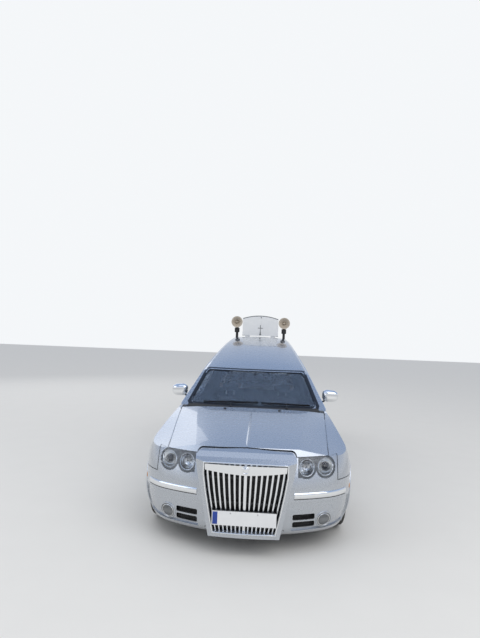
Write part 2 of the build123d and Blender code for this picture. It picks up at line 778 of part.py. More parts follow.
print("arch liners")
liners = []
for back, inner in ((front_axle, front_liner_inner), (rear_axle, rear_liner_inner)):
    band = axle_disc(back, inner, 990, liner_radius)
    band -= axle_disc(back, inner + liner_thickness, 1000, liner_radius - liner_thickness)
    band &= inner_skin
    band -= block(0, 1000, back - 600, back + 600, -200, 260)
    band -= block(0, inner + 50, back - 600, back + 600, -200, 560)
    liners.append(biggest(band))
nodes["arch_liners"] = Compound([solid for liner in liners for solid in (liner, mirrored(liner).solids()[0])])

print("suspension")


def carrier(back):
    """Upright with its stub axle and a brake caliper over the disc, for the left wheel."""
    upright = block(upright_x, upright_x + 35, back - 45, back + 45, tyre_radius - 140, tyre_radius + 140)
    upright += axle_disc(back, upright_x + 20, wheel_x + 60, stub_radius)
    disc_inner = wheel_x - 35
    for x0, x1, b0, b1 in (
        (upright_x + 10, disc_inner - 7, 30, 182),
        (upright_x + 10, disc_inner + 46, 167, 182),
        (disc_inner + disc_thickness + 7, disc_inner + 46, 110, 182),
    ):
        upright += block(x0, x1, back + b0, back + b1, tyre_radius - 40, tyre_radius + 40)
    return upright


nodes["knuckle_left"] = carrier(front_axle)
nodes["knuckle_right"] = mirrored(nodes["knuckle_left"])
low_arm = tyre_radius - 140 - seat_gap
high_arm = tyre_radius + 140 + seat_gap
member_top = low_arm + 20
front = block(-450, 450, front_axle - 60, front_axle + 60, member_top - 55, member_top)
for side in (1, -1):
    front += block(side * 430, side * (upright_x + 30), front_axle - 28, front_axle + 28, low_arm - 28, low_arm)
    front += block(
        side * (rail_inner + 10), side * (front_liner_inner - 10), front_axle - 50, front_axle + 50, low_arm, rail_bottom - seat_gap)
    front += block(side * 440, side * (upright_x + 30), front_axle - 24, front_axle + 24, high_arm, high_arm + 24)
    front += block(side * 440, side * 480, front_axle - 24, front_axle + 24, rail_top + seat_gap, high_arm + 24)
nodes["front_suspension"] = biggest(front)
rear = block(-560, 560, rear_axle - 60, rear_axle + 60, 300, rear_rail_bottom - 2)
for side in (1, -1):
    rear += block(side * 540, side * (upright_x + 5), rear_axle - 30, rear_axle + 30, 320, 360)
    rear += block(side * 480, side * 540, rear_axle - 50, rear_axle + 50, 360, rear_rail_bottom - seat_gap)
hub = carrier(rear_axle)
rear += hub + mirrored(hub)
nodes["rear_suspension"] = biggest(rear)
nodes["engine_block"] = block(-250, 250, 400, engine_rear, member_top + seat_gap, engine_top)
tank_top = rear_floor - floor_sheet - seat_gap
tank_front = rear_axle + 225
tank_rear = tank_front + 440
nodes["fuel_tank"] = fillet(block(30, 460, tank_front, tank_rear, 215, tank_top).edges(), 25)
pipe_length = tank_front - engine_rear + 40
exhaust = Pos(pipe_x, at(engine_rear + pipe_length / 2), pipe_height) * Rot(90, 0, 0) * Cylinder(pipe_radius, pipe_length)
exhaust += fillet(block(-430, -10, tank_front, tank_rear, 190, 330).edges(), 30)
tip_front = tank_rear - 20
tip_length = tip_end - tip_front
exhaust += Pos(tip_x, at(tip_front + tip_length / 2), tip_height) * Rot(90, 0, 0) * Cylinder(tip_radius, tip_length)
for back in (2400, 3600):
    exhaust += block(pipe_x - 12, pipe_x + 12, back, back + 30, pipe_height + 15, tunnel_roof - seat_gap)
for x in (-380, -80):
    exhaust += block(x - 12, x + 12, tank_front + 200, tank_front + 230, 320, tank_top)
nodes["exhaust"] = biggest(exhaust)

print("wheels")
half_rim = rim_width / 2
bead_in = 62
drop_radius = rim_radius - 22
barrel = [
    (-half_rim, rim_radius + 14), (-half_rim + 8, rim_radius + 14), (-half_rim + 12, rim_radius), (-bead_in, rim_radius),
    (-42, drop_radius), (42, drop_radius), (bead_in, rim_radius), (half_rim - 12, rim_radius),
    (half_rim - 8, rim_radius + 14), (half_rim, rim_radius + 14), (half_rim, rim_radius + 4),
    (half_rim - 10, rim_radius - 10), (50, drop_radius - 8), (-50, drop_radius - 8),
    (-half_rim + 10, rim_radius - 10), (-half_rim, rim_radius + 4),
]


def turned(points):
    return revolve(make_face(Polyline(*points, close=True)), axis=Axis.X)


def wheel_drum(x0, x1, radius):
    return Rot(0, 90, 0) * Pos(0, 0, (x0 + x1) / 2) * Cylinder(radius, x1 - x0)


rim = turned(barrel)
face_x = half_rim - hub_face_inset
rim += wheel_drum(face_x - 27, face_x + 3, hub_radius)
rim += wheel_drum(-35, face_x, hub_radius - 6)
rim += wheel_drum(-35, -35 + disc_thickness, disc_radius)
spoke_end = rim_radius - 8
spoke_outline = make_face(Polyline(
    (face_x - 30, 50), (face_x, 50), (half_rim - 12, spoke_end), (half_rim - 38, spoke_end), close=True))
spoke = extrude(Plane.XY * spoke_outline, amount=spoke_root, both=True)
taper = Polyline((40, -spoke_root), (spoke_end + 4, -spoke_tip), (spoke_end + 4, spoke_tip), (40, spoke_root), close=True)
spoke = spoke & extrude(Plane.YZ * make_face(taper), amount=half_rim)
for number in range(spoke_pairs):
    for lean in (-spoke_spread, spoke_spread):
        rim += Rot(360 * number / spoke_pairs + lean, 0, 0) * spoke
rim -= wheel_drum(-140, 60 + seat_gap, stub_radius + seat_gap)
rim = biggest(rim)
bead_radius = rim_radius + seat_gap
bead_out = half_rim - 12 - seat_gap - 1
tyre_half = tyre_width / 2
tread_half = tyre_half - 22.5
shoulder = tyre_radius - 5.5
tyre_profile = [
    Line((-bead_out, bead_radius), (bead_out, bead_radius)),
    Line((bead_out, bead_radius), (bead_out, bead_radius + 17)),
    ThreePointArc((bead_out, bead_radius + 17), (tyre_half, bead_radius + 67), (tyre_half - 9.5, tyre_radius - 18.5)),
    Line((tyre_half - 9.5, tyre_radius - 18.5), (tread_half, shoulder)),
    ThreePointArc((tread_half, shoulder), (0, tyre_radius), (-tread_half, shoulder)),
    Line((-tread_half, shoulder), (9.5 - tyre_half, tyre_radius - 18.5)),
    ThreePointArc((9.5 - tyre_half, tyre_radius - 18.5), (-tyre_half, bead_radius + 67), (-bead_out, bead_radius + 17)),
    Line((-bead_out, bead_radius + 17), (-bead_out, bead_radius)),
]
tyre = revolve(make_face(tyre_profile), axis=Axis.X)
for place, back in (("front", front_axle), ("rear", rear_axle)):
    for side, turn in (("left", 0), ("right", 180)):
        move = Pos(wheel_x if side == "left" else -wheel_x, at(back), tyre_radius) * Rot(0, 0, turn)
        nodes[f"rim_{place}_{side}"] = move * rim
        nodes[f"tyre_{place}_{side}"] = move * tyre

print("inside")
dash_profile = [(1640, 700), (1640, 955), (1760, 982), (1960, 980), (2070, 930), (2095, 790), (2020, 700)]
dash = side_prism(dash_profile, -740, 740) & lower_form(side_thickness + 18)
dash += block(-900, 900, 1545, 1600, 740, 800) & inner_side
dash += block(-700, 700, 1590, 1650, 740, 800)
column = Pos(wheel_hub_x, at(wheel_hub_back), wheel_hub_height) * Rot(-90 + column_tilt, 0, 0)
dash += column * (Pos(0, 0, -126) * Cylinder(32, 230))
nodes["dashboard"] = biggest(dash)
wheel = column * Torus(185, 14)
wheel += column * Cylinder(48, 22 - 2 * seat_gap)
for angle in (0, 180, 90):
    wheel += column * Rot(0, 0, angle) * Pos(110, 0, 0) * Box(140, 34, 12)
nodes["steering_wheel"] = biggest(wheel)
seats = []
for x in (wheel_hub_x, -wheel_hub_x):
    cushion_height = seat_top - seat_base - 2 * seat_gap
    cushion = Pos(x, at(2530), (seat_base + seat_top) / 2) * Box(seat_width, 520, cushion_height)
    seats.append(fillet(cushion.edges(), 50).solids()[0])
    seat_pivot = Pos(x, at(2810 - back_shift), seat_top - 30 - back_drop) * Rot(-seat_tilt, 0, 0)
    back_rest = seat_pivot * Pos(0, 60, 290) * Box(seat_width - 10, 115, 560)
    seats.append(fillet(back_rest.edges(), 45).solids()[0])
    head = seat_pivot * Pos(0, 60, 570 + 80 + seat_gap) * Box(260, 95, 160)
    seats.append(fillet(head.edges(), 35).solids()[0])
nodes["front_seats"] = Compound(seats)
partition_rear = partition_back + partition_thickness
wall = block(-900, 900, partition_back, partition_rear, floor_top, belt_height) & inner_side
wall -= block(-tunnel_half - seat_gap, tunnel_half + seat_gap, 3100, 3200, 0, tunnel_top + seat_gap)
wall += block(-900, 900, partition_back, partition_rear, belt_height, 1520) & upper_form(pillar_thickness + seat_gap)
wall -= along(front_face([(-560, 1010), (560, 1010), (440, 1420), (-440, 1420)], 40), 3100, 3200)
nodes["partition"] = biggest(wall)
deck = block(-900, 900, deck_front, deck_rear, deck_height - deck_thickness, deck_height) & inner_side
for side in (1, -1):
    deck += block(side * 520, side * 540, deck_front, rear_floor_front - 40, floor_top + seat_gap, deck_height - 5)
    deck += block(side * 520, side * 540, rear_floor_front + 5, deck_rear, rear_floor + seat_gap, deck_height - 5)
nodes["coffin_deck"] = biggest(deck)
rails = None
for side in (1, -1):
    rail = block(side * 300, side * 325, deck_front + 60, deck_rear - 60, deck_height + seat_gap, deck_height + 24)
    rails = rail if rails is None else rails + rail
for number in range(roller_count):
    back = deck_front + 160 + number * (deck_rear - deck_front - 320) / (roller_count - 1)
    rails += axle_disc(back, -310, 310, roller_radius, deck_height + roller_radius + 1)
nodes["deck_rails"] = biggest(rails)

print("roof sign and horns")
sign_half = sign_width / 2
sign_outline = make_face([
    Line((-sign_half, sign_bottom), (sign_half, sign_bottom)),
    Line((sign_half, sign_bottom), (sign_half, sign_shoulder)),
    ThreePointArc((sign_half, sign_shoulder), (0, sign_top), (-sign_half, sign_shoulder)),
    Line((-sign_half, sign_shoulder), (-sign_half, sign_bottom)),
])
sign = along(sign_outline, sign_back, sign_back + sign_thickness)
for x in (-230, 230):
    foot = block(x - 40, x + 40, sign_back + 10, sign_back + sign_thickness - 10, 1740, sign_bottom + 5)
    sign += foot - upper_seat
nodes["roof_sign"] = biggest(sign)
horn_profile = [
    (0, 0), (0, 34), (70, 34), (110, 44), (150, horn_radius), (156, horn_radius), (152, horn_radius - 18), (100, 30), (60, 0),
]
horn_x = sign_half + horn_radius + horn_gap
horns = []
for side in (1, -1):
    horn = revolve(make_face(Polyline(*[(r, -b) for b, r in horn_profile], close=True)), axis=Axis.Y)
    horn = Pos(side * horn_x, at(sign_back + 150), horn_height) * horn
    post = block(side * (horn_x - 20), side * (horn_x + 20), sign_back + 100, sign_back + 140, 1680, horn_height - 20)
    horns.append(biggest(horn + (post - upper_seat)))
nodes["roof_horns"] = Compound(horns)

print("mirrors and wipers")
mirror_body = Pos(mirror_x, at(mirror_back), mirror_height) * Box(185, 115, 148)
mirror_body = fillet(mirror_body.edges(), 48)
mirror_arm = block(800, mirror_x - 40, mirror_back - 30, mirror_back + 30, belt_height + seat_gap, mirror_height - 45)
nodes["mirror_left"] = biggest((mirror_body + mirror_arm) - upper_seat)
nodes["mirror_right"] = mirrored(nodes["mirror_left"])
wipers = []
glass_seat = upper_form(glass_recess - seat_gap)
for foot_x, tip_x, foot_z, tip_z in ((60, -560, 1030, 1012), (640, 90, 1012, 1028)):
    blade = along(front_face([(tip_x, tip_z), (foot_x, foot_z), (foot_x, foot_z + 14), (tip_x, tip_z + 14)]), 1200, 2000)
    middle = (foot_x + tip_x) / 2
    arm = along(front_face([(middle, 980), (middle + 18, 980), (middle + 18, 1024), (middle, 1024)]), 1200, 2000)
    raised = upper_form(-wiper_height)
    wiper = ((raised & blade) - glass_seat) + ((raised & arm) - upper_seat)
    wipers.append(biggest(wiper & block(-700, 700, 1200, 2000, 975, 1100)))
nodes["wipers"] = Compound(wipers)

for name, shape in nodes.items():
    print(name, len(shape.solids()), round(shape.volume / 1e6, 2), shape.is_valid)
    export_step(shape, f"parts/{name}.step")
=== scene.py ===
import math

import bmesh
import bpy
from mathutils import Matrix, Vector
from mathutils.bvhtree import BVHTree


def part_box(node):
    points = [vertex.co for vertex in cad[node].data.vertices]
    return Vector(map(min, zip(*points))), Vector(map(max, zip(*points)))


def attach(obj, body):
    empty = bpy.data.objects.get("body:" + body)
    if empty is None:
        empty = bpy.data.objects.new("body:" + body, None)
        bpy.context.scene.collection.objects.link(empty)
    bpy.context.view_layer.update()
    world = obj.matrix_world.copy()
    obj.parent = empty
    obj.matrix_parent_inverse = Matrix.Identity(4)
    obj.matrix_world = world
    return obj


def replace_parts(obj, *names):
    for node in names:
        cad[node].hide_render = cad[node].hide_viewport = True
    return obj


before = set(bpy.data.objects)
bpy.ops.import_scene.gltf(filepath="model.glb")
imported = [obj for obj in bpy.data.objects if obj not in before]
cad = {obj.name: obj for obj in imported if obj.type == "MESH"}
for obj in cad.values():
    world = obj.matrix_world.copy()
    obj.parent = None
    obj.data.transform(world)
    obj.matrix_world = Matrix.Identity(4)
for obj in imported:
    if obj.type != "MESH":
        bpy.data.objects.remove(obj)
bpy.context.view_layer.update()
bothSides = ((1, "Left"), (-1, "Right"))


def makeObject(name, data):
    item = bpy.data.objects.new(name, data)
    bpy.context.scene.collection.objects.link(item)
    return item


def feed(tree, node, sockets):
    # Links an output to each socket, or sets the socket's value
    for label, value in sockets.items():
        socket = node.inputs[label]
        if isinstance(value, bpy.types.NodeSocket):
            tree.links.new(value, socket)
        elif socket.type == "RGBA":
            socket.default_value = (*value, 1)
        else:
            socket.default_value = value


def addNode(tree, kind, sockets, **settings):
    node = tree.nodes.new("ShaderNode" + kind)
    for key, value in settings.items():
        setattr(node, key, value)
    feed(tree, node, sockets)
    return node


def mathNode(tree, operation, *values, clamp=False):
    return addNode(tree, "Math", dict(enumerate(values)), operation=operation, use_clamp=clamp).outputs[0]


def noiseNode(tree, vector, scale, detail=3.0, roughness=0.5):
    sockets = {"Vector": vector, "Scale": scale, "Detail": detail, "Roughness": roughness}
    return addNode(tree, "TexNoise", sockets).outputs[0]


def rangeNode(tree, value, fromLow, fromHigh, toLow, toHigh):
    sockets = {"Value": value, "From Min": fromLow, "From Max": fromHigh, "To Min": toLow, "To Max": toHigh}
    return addNode(tree, "MapRange", sockets).outputs[0]


def mixColours(tree, factor, first, second):
    sockets = {"Factor": factor, "A": first, "B": second}
    return addNode(tree, "Mix", sockets, data_type="RGBA").outputs["Result"]


def splitNode(tree, vector):
    return addNode(tree, "SeparateXYZ", {0: vector}).outputs


def bumpNode(tree, height, strength, distance):
    return addNode(tree, "Bump", {"Strength": strength, "Distance": distance, "Height": height}).outputs[0]


def placeGroup(tree, group, vector, **values):
    return addNode(tree, "Group", {"Vector": vector, **values}, node_tree=group).outputs


def newMaterial(name):
    material = bpy.data.materials.new(name)
    material.use_nodes = True
    tree = material.node_tree
    coords = tree.nodes.new("ShaderNodeTexCoord")
    return material, tree, tree.nodes["Principled BSDF"], coords.outputs["Object"]


print("camera, floor and light")
cameraSettings = {
    "place": (0.139, -6.886, 1.793),
    "yaw": -3.39,
    "pitch": 1.90,
    "roll": 2.17,
    "focalPixels": 480.0,
    "longSidePixels": 638.0,
    "sensor": 36,
}


def makeCamera(s):
    yaw, pitch, roll = (math.radians(s[k]) for k in ("yaw", "pitch", "roll"))
    ahead = Vector((math.sin(yaw) * math.cos(pitch), math.cos(yaw) * math.cos(pitch), math.sin(pitch)))
    right = Vector((math.cos(yaw), -math.sin(yaw), 0))
    up = right.cross(ahead)
    turnedRight = right * math.cos(roll) + up * math.sin(roll)
    turnedUp = up * math.cos(roll) - right * math.sin(roll)
    data = bpy.data.cameras.new("photoCamera")
    data.sensor_width = s["sensor"]
    data.lens = s["sensor"] * s["focalPixels"] / s["longSidePixels"]
    data.clip_end = 200
    camera = makeObject("photoCamera", data)
    turn = Matrix((turnedRight, turnedUp, -ahead)).transposed().to_4x4()
    camera.matrix_world = Matrix.Translation(s["place"]) @ turn
    bpy.context.scene.camera = camera


lightSettings = {
    "ground": (0.60, 0.60, 0.60),
    "horizon": (0.92, 0.94, 0.97),
    "zenith": (0.36, 0.50, 0.78),
    "backdrop": (0.91, 0.93, 0.95),
    "softFill": (0.86, 0.87, 0.89),
    "worldStrength": 0.84,
    "floorColour": (0.78, 0.78, 0.77),
    "lampAim": (0, 0, 0.6),
    "lamps": [
        # name, place, size, power, colour
        ("keyLamp", (5.0, -8.0, 7.0), (8.0, 6.0), 250, (1.0, 0.98, 0.95)),
        ("fillLamp", (-8.0, -6.0, 5.0), (6.0, 5.0), 90, (0.94, 0.97, 1.0)),
        ("topLamp", (0.0, -5.5, 9.0), (8.0, 6.0), 70, (1.0, 1.0, 1.0)),
        ("rearLamp", (-7.0, 8.0, 6.0), (9.0, 5.0), 110, (1.0, 0.99, 0.97)),
    ],
}


def makeLamps(s):
    for name, place, size, power, colour in s["lamps"]:
        data = bpy.data.lights.new(name, "AREA")
        data.shape = "RECTANGLE"
        data.size, data.size_y = size
        data.energy, data.color = power, colour
        lamp = makeObject(name, data)
        lamp.location = place
        lamp.rotation_mode = "QUATERNION"
        lamp.rotation_quaternion = (Vector(s["lampAim"]) - Vector(place)).to_track_quat("-Z", "Y")


def makeWorld(s):
    world = bpy.data.worlds.new("softStudio")
    bpy.context.scene.world = world
    world.use_nodes = True
    tree = world.node_tree
    height = splitNode(tree, addNode(tree, "TexCoord", {}).outputs["Generated"])["Z"]
    ramp = addNode(tree, "ValToRGB", {0: mathNode(tree, "MULTIPLY_ADD", height, 0.5, 0.5)})
    stops = ramp.color_ramp.elements
    stops[0].position, stops[1].position = 0.42, 0.78
    stops[0].color, stops[1].color = (*s["ground"], 1), (*s["zenith"], 1)
    stops.new(0.53).color = (*s["horizon"], 1)
    path = addNode(tree, "LightPath", {}).outputs
    colour = mixColours(tree, path["Is Diffuse Ray"], ramp.outputs[0], s["softFill"])
    colour = mixColours(tree, path["Is Camera Ray"], colour, s["backdrop"])
    strength = addNode(tree, "Mix", {"Factor": path["Is Camera Ray"], "A": s["worldStrength"], "B": 1.0})
    feed(tree, tree.nodes["Background"], {"Color": colour, "Strength": strength.outputs["Result"]})


def makeFloor(s):
    bm = bmesh.new()
    bmesh.ops.create_grid(bm, x_segments=2, y_segments=2, size=40)
    mesh = bpy.data.meshes.new("floor")
    bm.to_mesh(mesh)
    bm.free()
    paint, tree, surface, vector = newMaterial("paleFloor")
    ramp = addNode(tree, "ValToRGB", {0: noiseNode(tree, vector, 3.0, 2.0)})
    for stop, shade in zip(ramp.color_ramp.elements, (0.97, 1.0)):
        stop.color = (*[c * shade for c in s["floorColour"]], 1)
    feed(tree, surface, {"Base Color": ramp.outputs[0], "Roughness": 0.9, "Specular IOR Level": 0.15})
    mesh.materials.append(paint)
    makeObject("floor", mesh)


makeCamera(cameraSettings)
makeLamps(lightSettings)
makeWorld(lightSettings)
makeFloor(lightSettings)
bpy.context.scene.view_settings.view_transform = "Standard"

print("shared finishes")


def newGroup(name, inputs, outputs):
    # A group with a vector and some numbers going in, and numbers coming out
    group = bpy.data.node_groups.new(name, "ShaderNodeTree")
    group.interface.new_socket(name="Vector", in_out="INPUT", socket_type="NodeSocketVector")
    for label, value in inputs.items():
        socket = group.interface.new_socket(name=label, in_out="INPUT", socket_type="NodeSocketFloat")
        socket.default_value = value
    for label in outputs:
        group.interface.new_socket(name=label, in_out="OUTPUT", socket_type="NodeSocketFloat")
    return group, group.nodes.new("NodeGroupInput").outputs, group.nodes.new("NodeGroupOutput")


def makeRoadDust():
    # Thin dust that thickens towards the ground and gathers in patches
    group, given, end = newGroup("roadDust", {"Amount": 0.3, "Top": 0.7}, ["Mask"])
    below = mathNode(group, "SUBTRACT", given["Top"], splitNode(group, given["Vector"])["Z"])
    low = rangeNode(group, below, 0.0, 0.6, 0.0, 1.0)
    patches = rangeNode(group, noiseNode(group, given["Vector"], 7.0, 5.0, 0.6), 0.35, 0.75, 0.2, 1.0)
    fine = rangeNode(group, noiseNode(group, given["Vector"], 160.0, 2.0), 0.3, 0.8, 0.6, 1.0)
    mask = mathNode(group, "MULTIPLY", mathNode(group, "MULTIPLY", low, patches), fine)
    feed(group, end, {"Mask": mathNode(group, "MULTIPLY", mask, given["Amount"], clamp=True)})
    return group


def makeFineGrain():
    # Moulded or cast grain, with a slow unevenness under it
    group, given, end = newGroup("fineGrain", {"Scale": 900.0, "Slow": 12.0}, ["Height", "Patches"])
    cells = addNode(group, "TexVoronoi", {"Vector": given["Vector"], "Scale": given["Scale"]})
    slow = noiseNode(group, given["Vector"], given["Slow"], 4.0, 0.6)
    height = mathNode(group, "MULTIPLY_ADD", slow, 0.4, cells.outputs["Distance"])
    feed(group, end, {"Height": height, "Patches": slow})
    return group


def makeWeave():
    # Crossed threads
    group, given, end = newGroup("clothWeave", {"Threads": 700.0}, ["Height", "Threads"])
    split = splitNode(group, given["Vector"])
    ways = (split["X"], mathNode(group, "ADD", split["Y"], split["Z"]))
    waves = [mathNode(group, "SINE", mathNode(group, "MULTIPLY", way, given["Threads"])) for way in ways]
    height = rangeNode(group, mathNode(group, "MULTIPLY", *waves), -1.0, 1.0, 0.0, 1.0)
    worn = noiseNode(group, given["Vector"], 30.0, 4.0)
    feed(group, end, {"Height": mathNode(group, "MULTIPLY_ADD", worn, 0.5, height), "Threads": height})
    return group


def makeSmears():
    # Wiping marks and small scratches for roughness
    group, given, end = newGroup("wipeMarks", {"Low": 0.05, "High": 0.2}, ["Roughness", "Height"])
    stretch = addNode(group, "Mapping", {"Vector": given["Vector"], "Scale": (1.0, 5.0, 2.0)})
    streaks = noiseNode(group, stretch.outputs[0], 9.0, 6.0, 0.7)
    both = mathNode(group, "MULTIPLY_ADD", noiseNode(group, given["Vector"], 55.0, 3.0), 0.35, streaks)
    share = rangeNode(group, both, 0.45, 0.85, 0.0, 1.0)
    width = mathNode(group, "SUBTRACT", given["High"], given["Low"])
    rough = mathNode(group, "MULTIPLY_ADD", share, width, given["Low"])
    feed(group, end, {"Roughness": rough, "Height": both})
    return group


roadDust = makeRoadDust()
fineGrain = makeFineGrain()
clothWeave = makeWeave()
wipeMarks = makeSmears()


def metalPaint(name, s):
    # Metallic paint: bright flakes, a clear coat, dust near the ground
    material, tree, surface, vector = newMaterial(name)
    flakes = addNode(tree, "TexVoronoi", {"Vector": vector, "Scale": s["flakeScale"]})
    sparkle = rangeNode(tree, flakes.outputs["Color"], 0.0, 1.0, 0.0, 1.0)
    colour = mixColours(tree, sparkle, s["dark"], s["light"])
    dust = placeGroup(tree, roadDust, vector, Amount=s["dust"], Top=s["dustTop"])["Mask"]
    marks = placeGroup(tree, wipeMarks, vector, Low=s["roughLow"], High=s["roughHigh"])
    peel = noiseNode(tree, vector, s["peelScale"], 2.0)
    feed(tree, surface, {
        "Base Color": mixColours(tree, dust, colour, s["dustColour"]),
        "Roughness": mathNode(tree, "MULTIPLY_ADD", dust, 0.35, marks["Roughness"]),
        "Metallic": rangeNode(tree, dust, 0.0, 1.0, s["metallic"], 0.1),
        "Normal": bumpNode(tree, peel, s["peelStrength"], 0.001),
        "Coat Weight": s["coat"], "Coat Roughness": 0.04, "Coat IOR": 1.5,
    })
    return material


def polishedMetal(name, colour, roughLow, roughHigh, bump, dustAmount, dustTop):
    material, tree, surface, vector = newMaterial(name)
    marks = placeGroup(tree, wipeMarks, vector, Low=roughLow, High=roughHigh)
    dust = placeGroup(tree, roadDust, vector, Amount=dustAmount, Top=dustTop)["Mask"]
    feed(tree, surface, {
        "Base Color": mixColours(tree, dust, colour, (0.42, 0.40, 0.37)),
        "Roughness": mathNode(tree, "MULTIPLY_ADD", dust, 0.4, marks["Roughness"]),
        "Metallic": 1.0,
        "Normal": bumpNode(tree, marks["Height"], bump, 0.0008),
    })
    return material


def mouldedPlastic(name, dark, light, grainScale, roughLow, roughHigh, bump, dustAmount, dustTop):
    material, tree, surface, vector = newMaterial(name)
    grain = placeGroup(tree, fineGrain, vector, Scale=grainScale, Slow=9.0)
    dust = placeGroup(tree, roadDust, vector, Amount=dustAmount, Top=dustTop)["Mask"]
    colour = mixColours(tree, grain["Patches"], dark, light)
    feed(tree, surface, {
        "Base Color": mixColours(tree, dust, colour, (0.36, 0.34, 0.31)),
        "Roughness": rangeNode(tree, grain["Patches"], 0.3, 0.7, roughLow, roughHigh),
        "Normal": bumpNode(tree, grain["Height"], bump, 0.0006),
    })
    return material


def tintedGlass(name, dark, light, roughHigh, clear, alpha):
    material, tree, surface, vector = newMaterial(name)
    marks = placeGroup(tree, wipeMarks, vector, Low=0.0, High=roughHigh)
    patches = rangeNode(tree, noiseNode(tree, vector, 2.5), 0.3, 0.7, 0.0, 1.0)
    feed(tree, surface, {
        "Base Color": mixColours(tree, patches, dark, light), "Roughness": marks["Roughness"],
        "Metallic": 0.0, "Transmission Weight": clear, "IOR": 1.45, "Alpha": alpha,
    })
    return material


def wovenCloth(name, dark, light, threads, bump):
    material, tree, surface, vector = newMaterial(name)
    weave = placeGroup(tree, clothWeave, vector, Threads=threads)
    feed(tree, surface, {
        "Base Color": mixColours(tree, weave["Threads"], dark, light),
        "Roughness": rangeNode(tree, weave["Height"], 0.0, 1.2, 0.75, 0.95),
        "Sheen Weight": 0.25, "Sheen Roughness": 0.5,
        "Normal": bumpNode(tree, weave["Height"], bump, 0.0008),
    })
    return material


def boardWood(name, dark, light):
    material, tree, surface, vector = newMaterial(name)
    stretch = addNode(tree, "Mapping", {"Vector": vector, "Scale": (9.0, 0.7, 9.0)}).outputs[0]
    grain = noiseNode(tree, stretch, 6.0, 8.0, 0.65)
    rings = addNode(tree, "TexWave", {"Vector": stretch, "Scale": 1.2, "Distortion": 6.0})
    both = mathNode(tree, "MULTIPLY_ADD", rings.outputs[0], 0.35, grain)
    feed(tree, surface, {
        "Base Color": mixColours(tree, rangeNode(tree, both, 0.35, 1.0, 0.0, 1.0), dark, light),
        "Roughness": rangeNode(tree, both, 0.3, 1.0, 0.28, 0.45),
        "Coat Weight": 0.4, "Coat Roughness": 0.15,
        "Normal": bumpNode(tree, both, 0.15, 0.0006),
    })
    return material


def tyreRubber(name, node, s):
    # Tread blocks run round the wheel; the pattern's centre is the wheel's own
    low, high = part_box(node)
    middle, tread = (low + high) / 2, (high.z - low.z) / 2
    material, tree, surface, vector = newMaterial(name)
    centred = addNode(tree, "Mapping", {"Vector": vector, "Location": (0.0, -middle.y, -middle.z)})
    split = splitNode(tree, centred.outputs[0])
    angle = mathNode(tree, "ARCTAN2", split["Z"], split["Y"])
    square = mathNode(tree, "MULTIPLY", split["Y"], split["Y"])
    radius = mathNode(tree, "SQRT", mathNode(tree, "MULTIPLY_ADD", split["Z"], split["Z"], square))
    slant = mathNode(tree, "MULTIPLY", mathNode(tree, "ABSOLUTE", split["X"]), s["slant"])
    wave = mathNode(tree, "SINE", mathNode(tree, "MULTIPLY_ADD", angle, s["blocks"], slant))
    blocks = rangeNode(tree, wave, -0.75, -0.45, 0.0, 1.0)
    onTread = rangeNode(tree, radius, tread - 0.006, tread - 0.002, 0.0, 1.0)
    cut = mathNode(tree, "MULTIPLY", mathNode(tree, "SUBTRACT", 1.0, blocks), onTread)
    rings = mathNode(tree, "SINE", mathNode(tree, "MULTIPLY", radius, 900.0))
    onSide = mathNode(tree, "SUBTRACT", 1.0, onTread)
    side = mathNode(tree, "MULTIPLY", onSide, rangeNode(tree, rings, 0.2, 1.0, 0.0, 0.25))
    grain = placeGroup(tree, fineGrain, vector, Scale=1500.0, Slow=14.0)
    colour = mixColours(tree, grain["Patches"], s["dark"], s["light"])
    # The grooves between the blocks are painted near black: painted shade in the recesses of the tread
    colour = mixColours(tree, cut, colour, (0.006, 0.006, 0.006))
    dust = placeGroup(tree, roadDust, vector, Amount=0.5, Top=0.9)["Mask"]
    feed(tree, surface, {
        "Base Color": mixColours(tree, dust, colour, (0.20, 0.19, 0.17)),
        "Roughness": rangeNode(tree, grain["Patches"], 0.3, 0.7, 0.72, 0.88),
        "Normal": bumpNode(tree, mathNode(tree, "SUBTRACT", side, cut), 0.9, 0.004),
    })
    return material


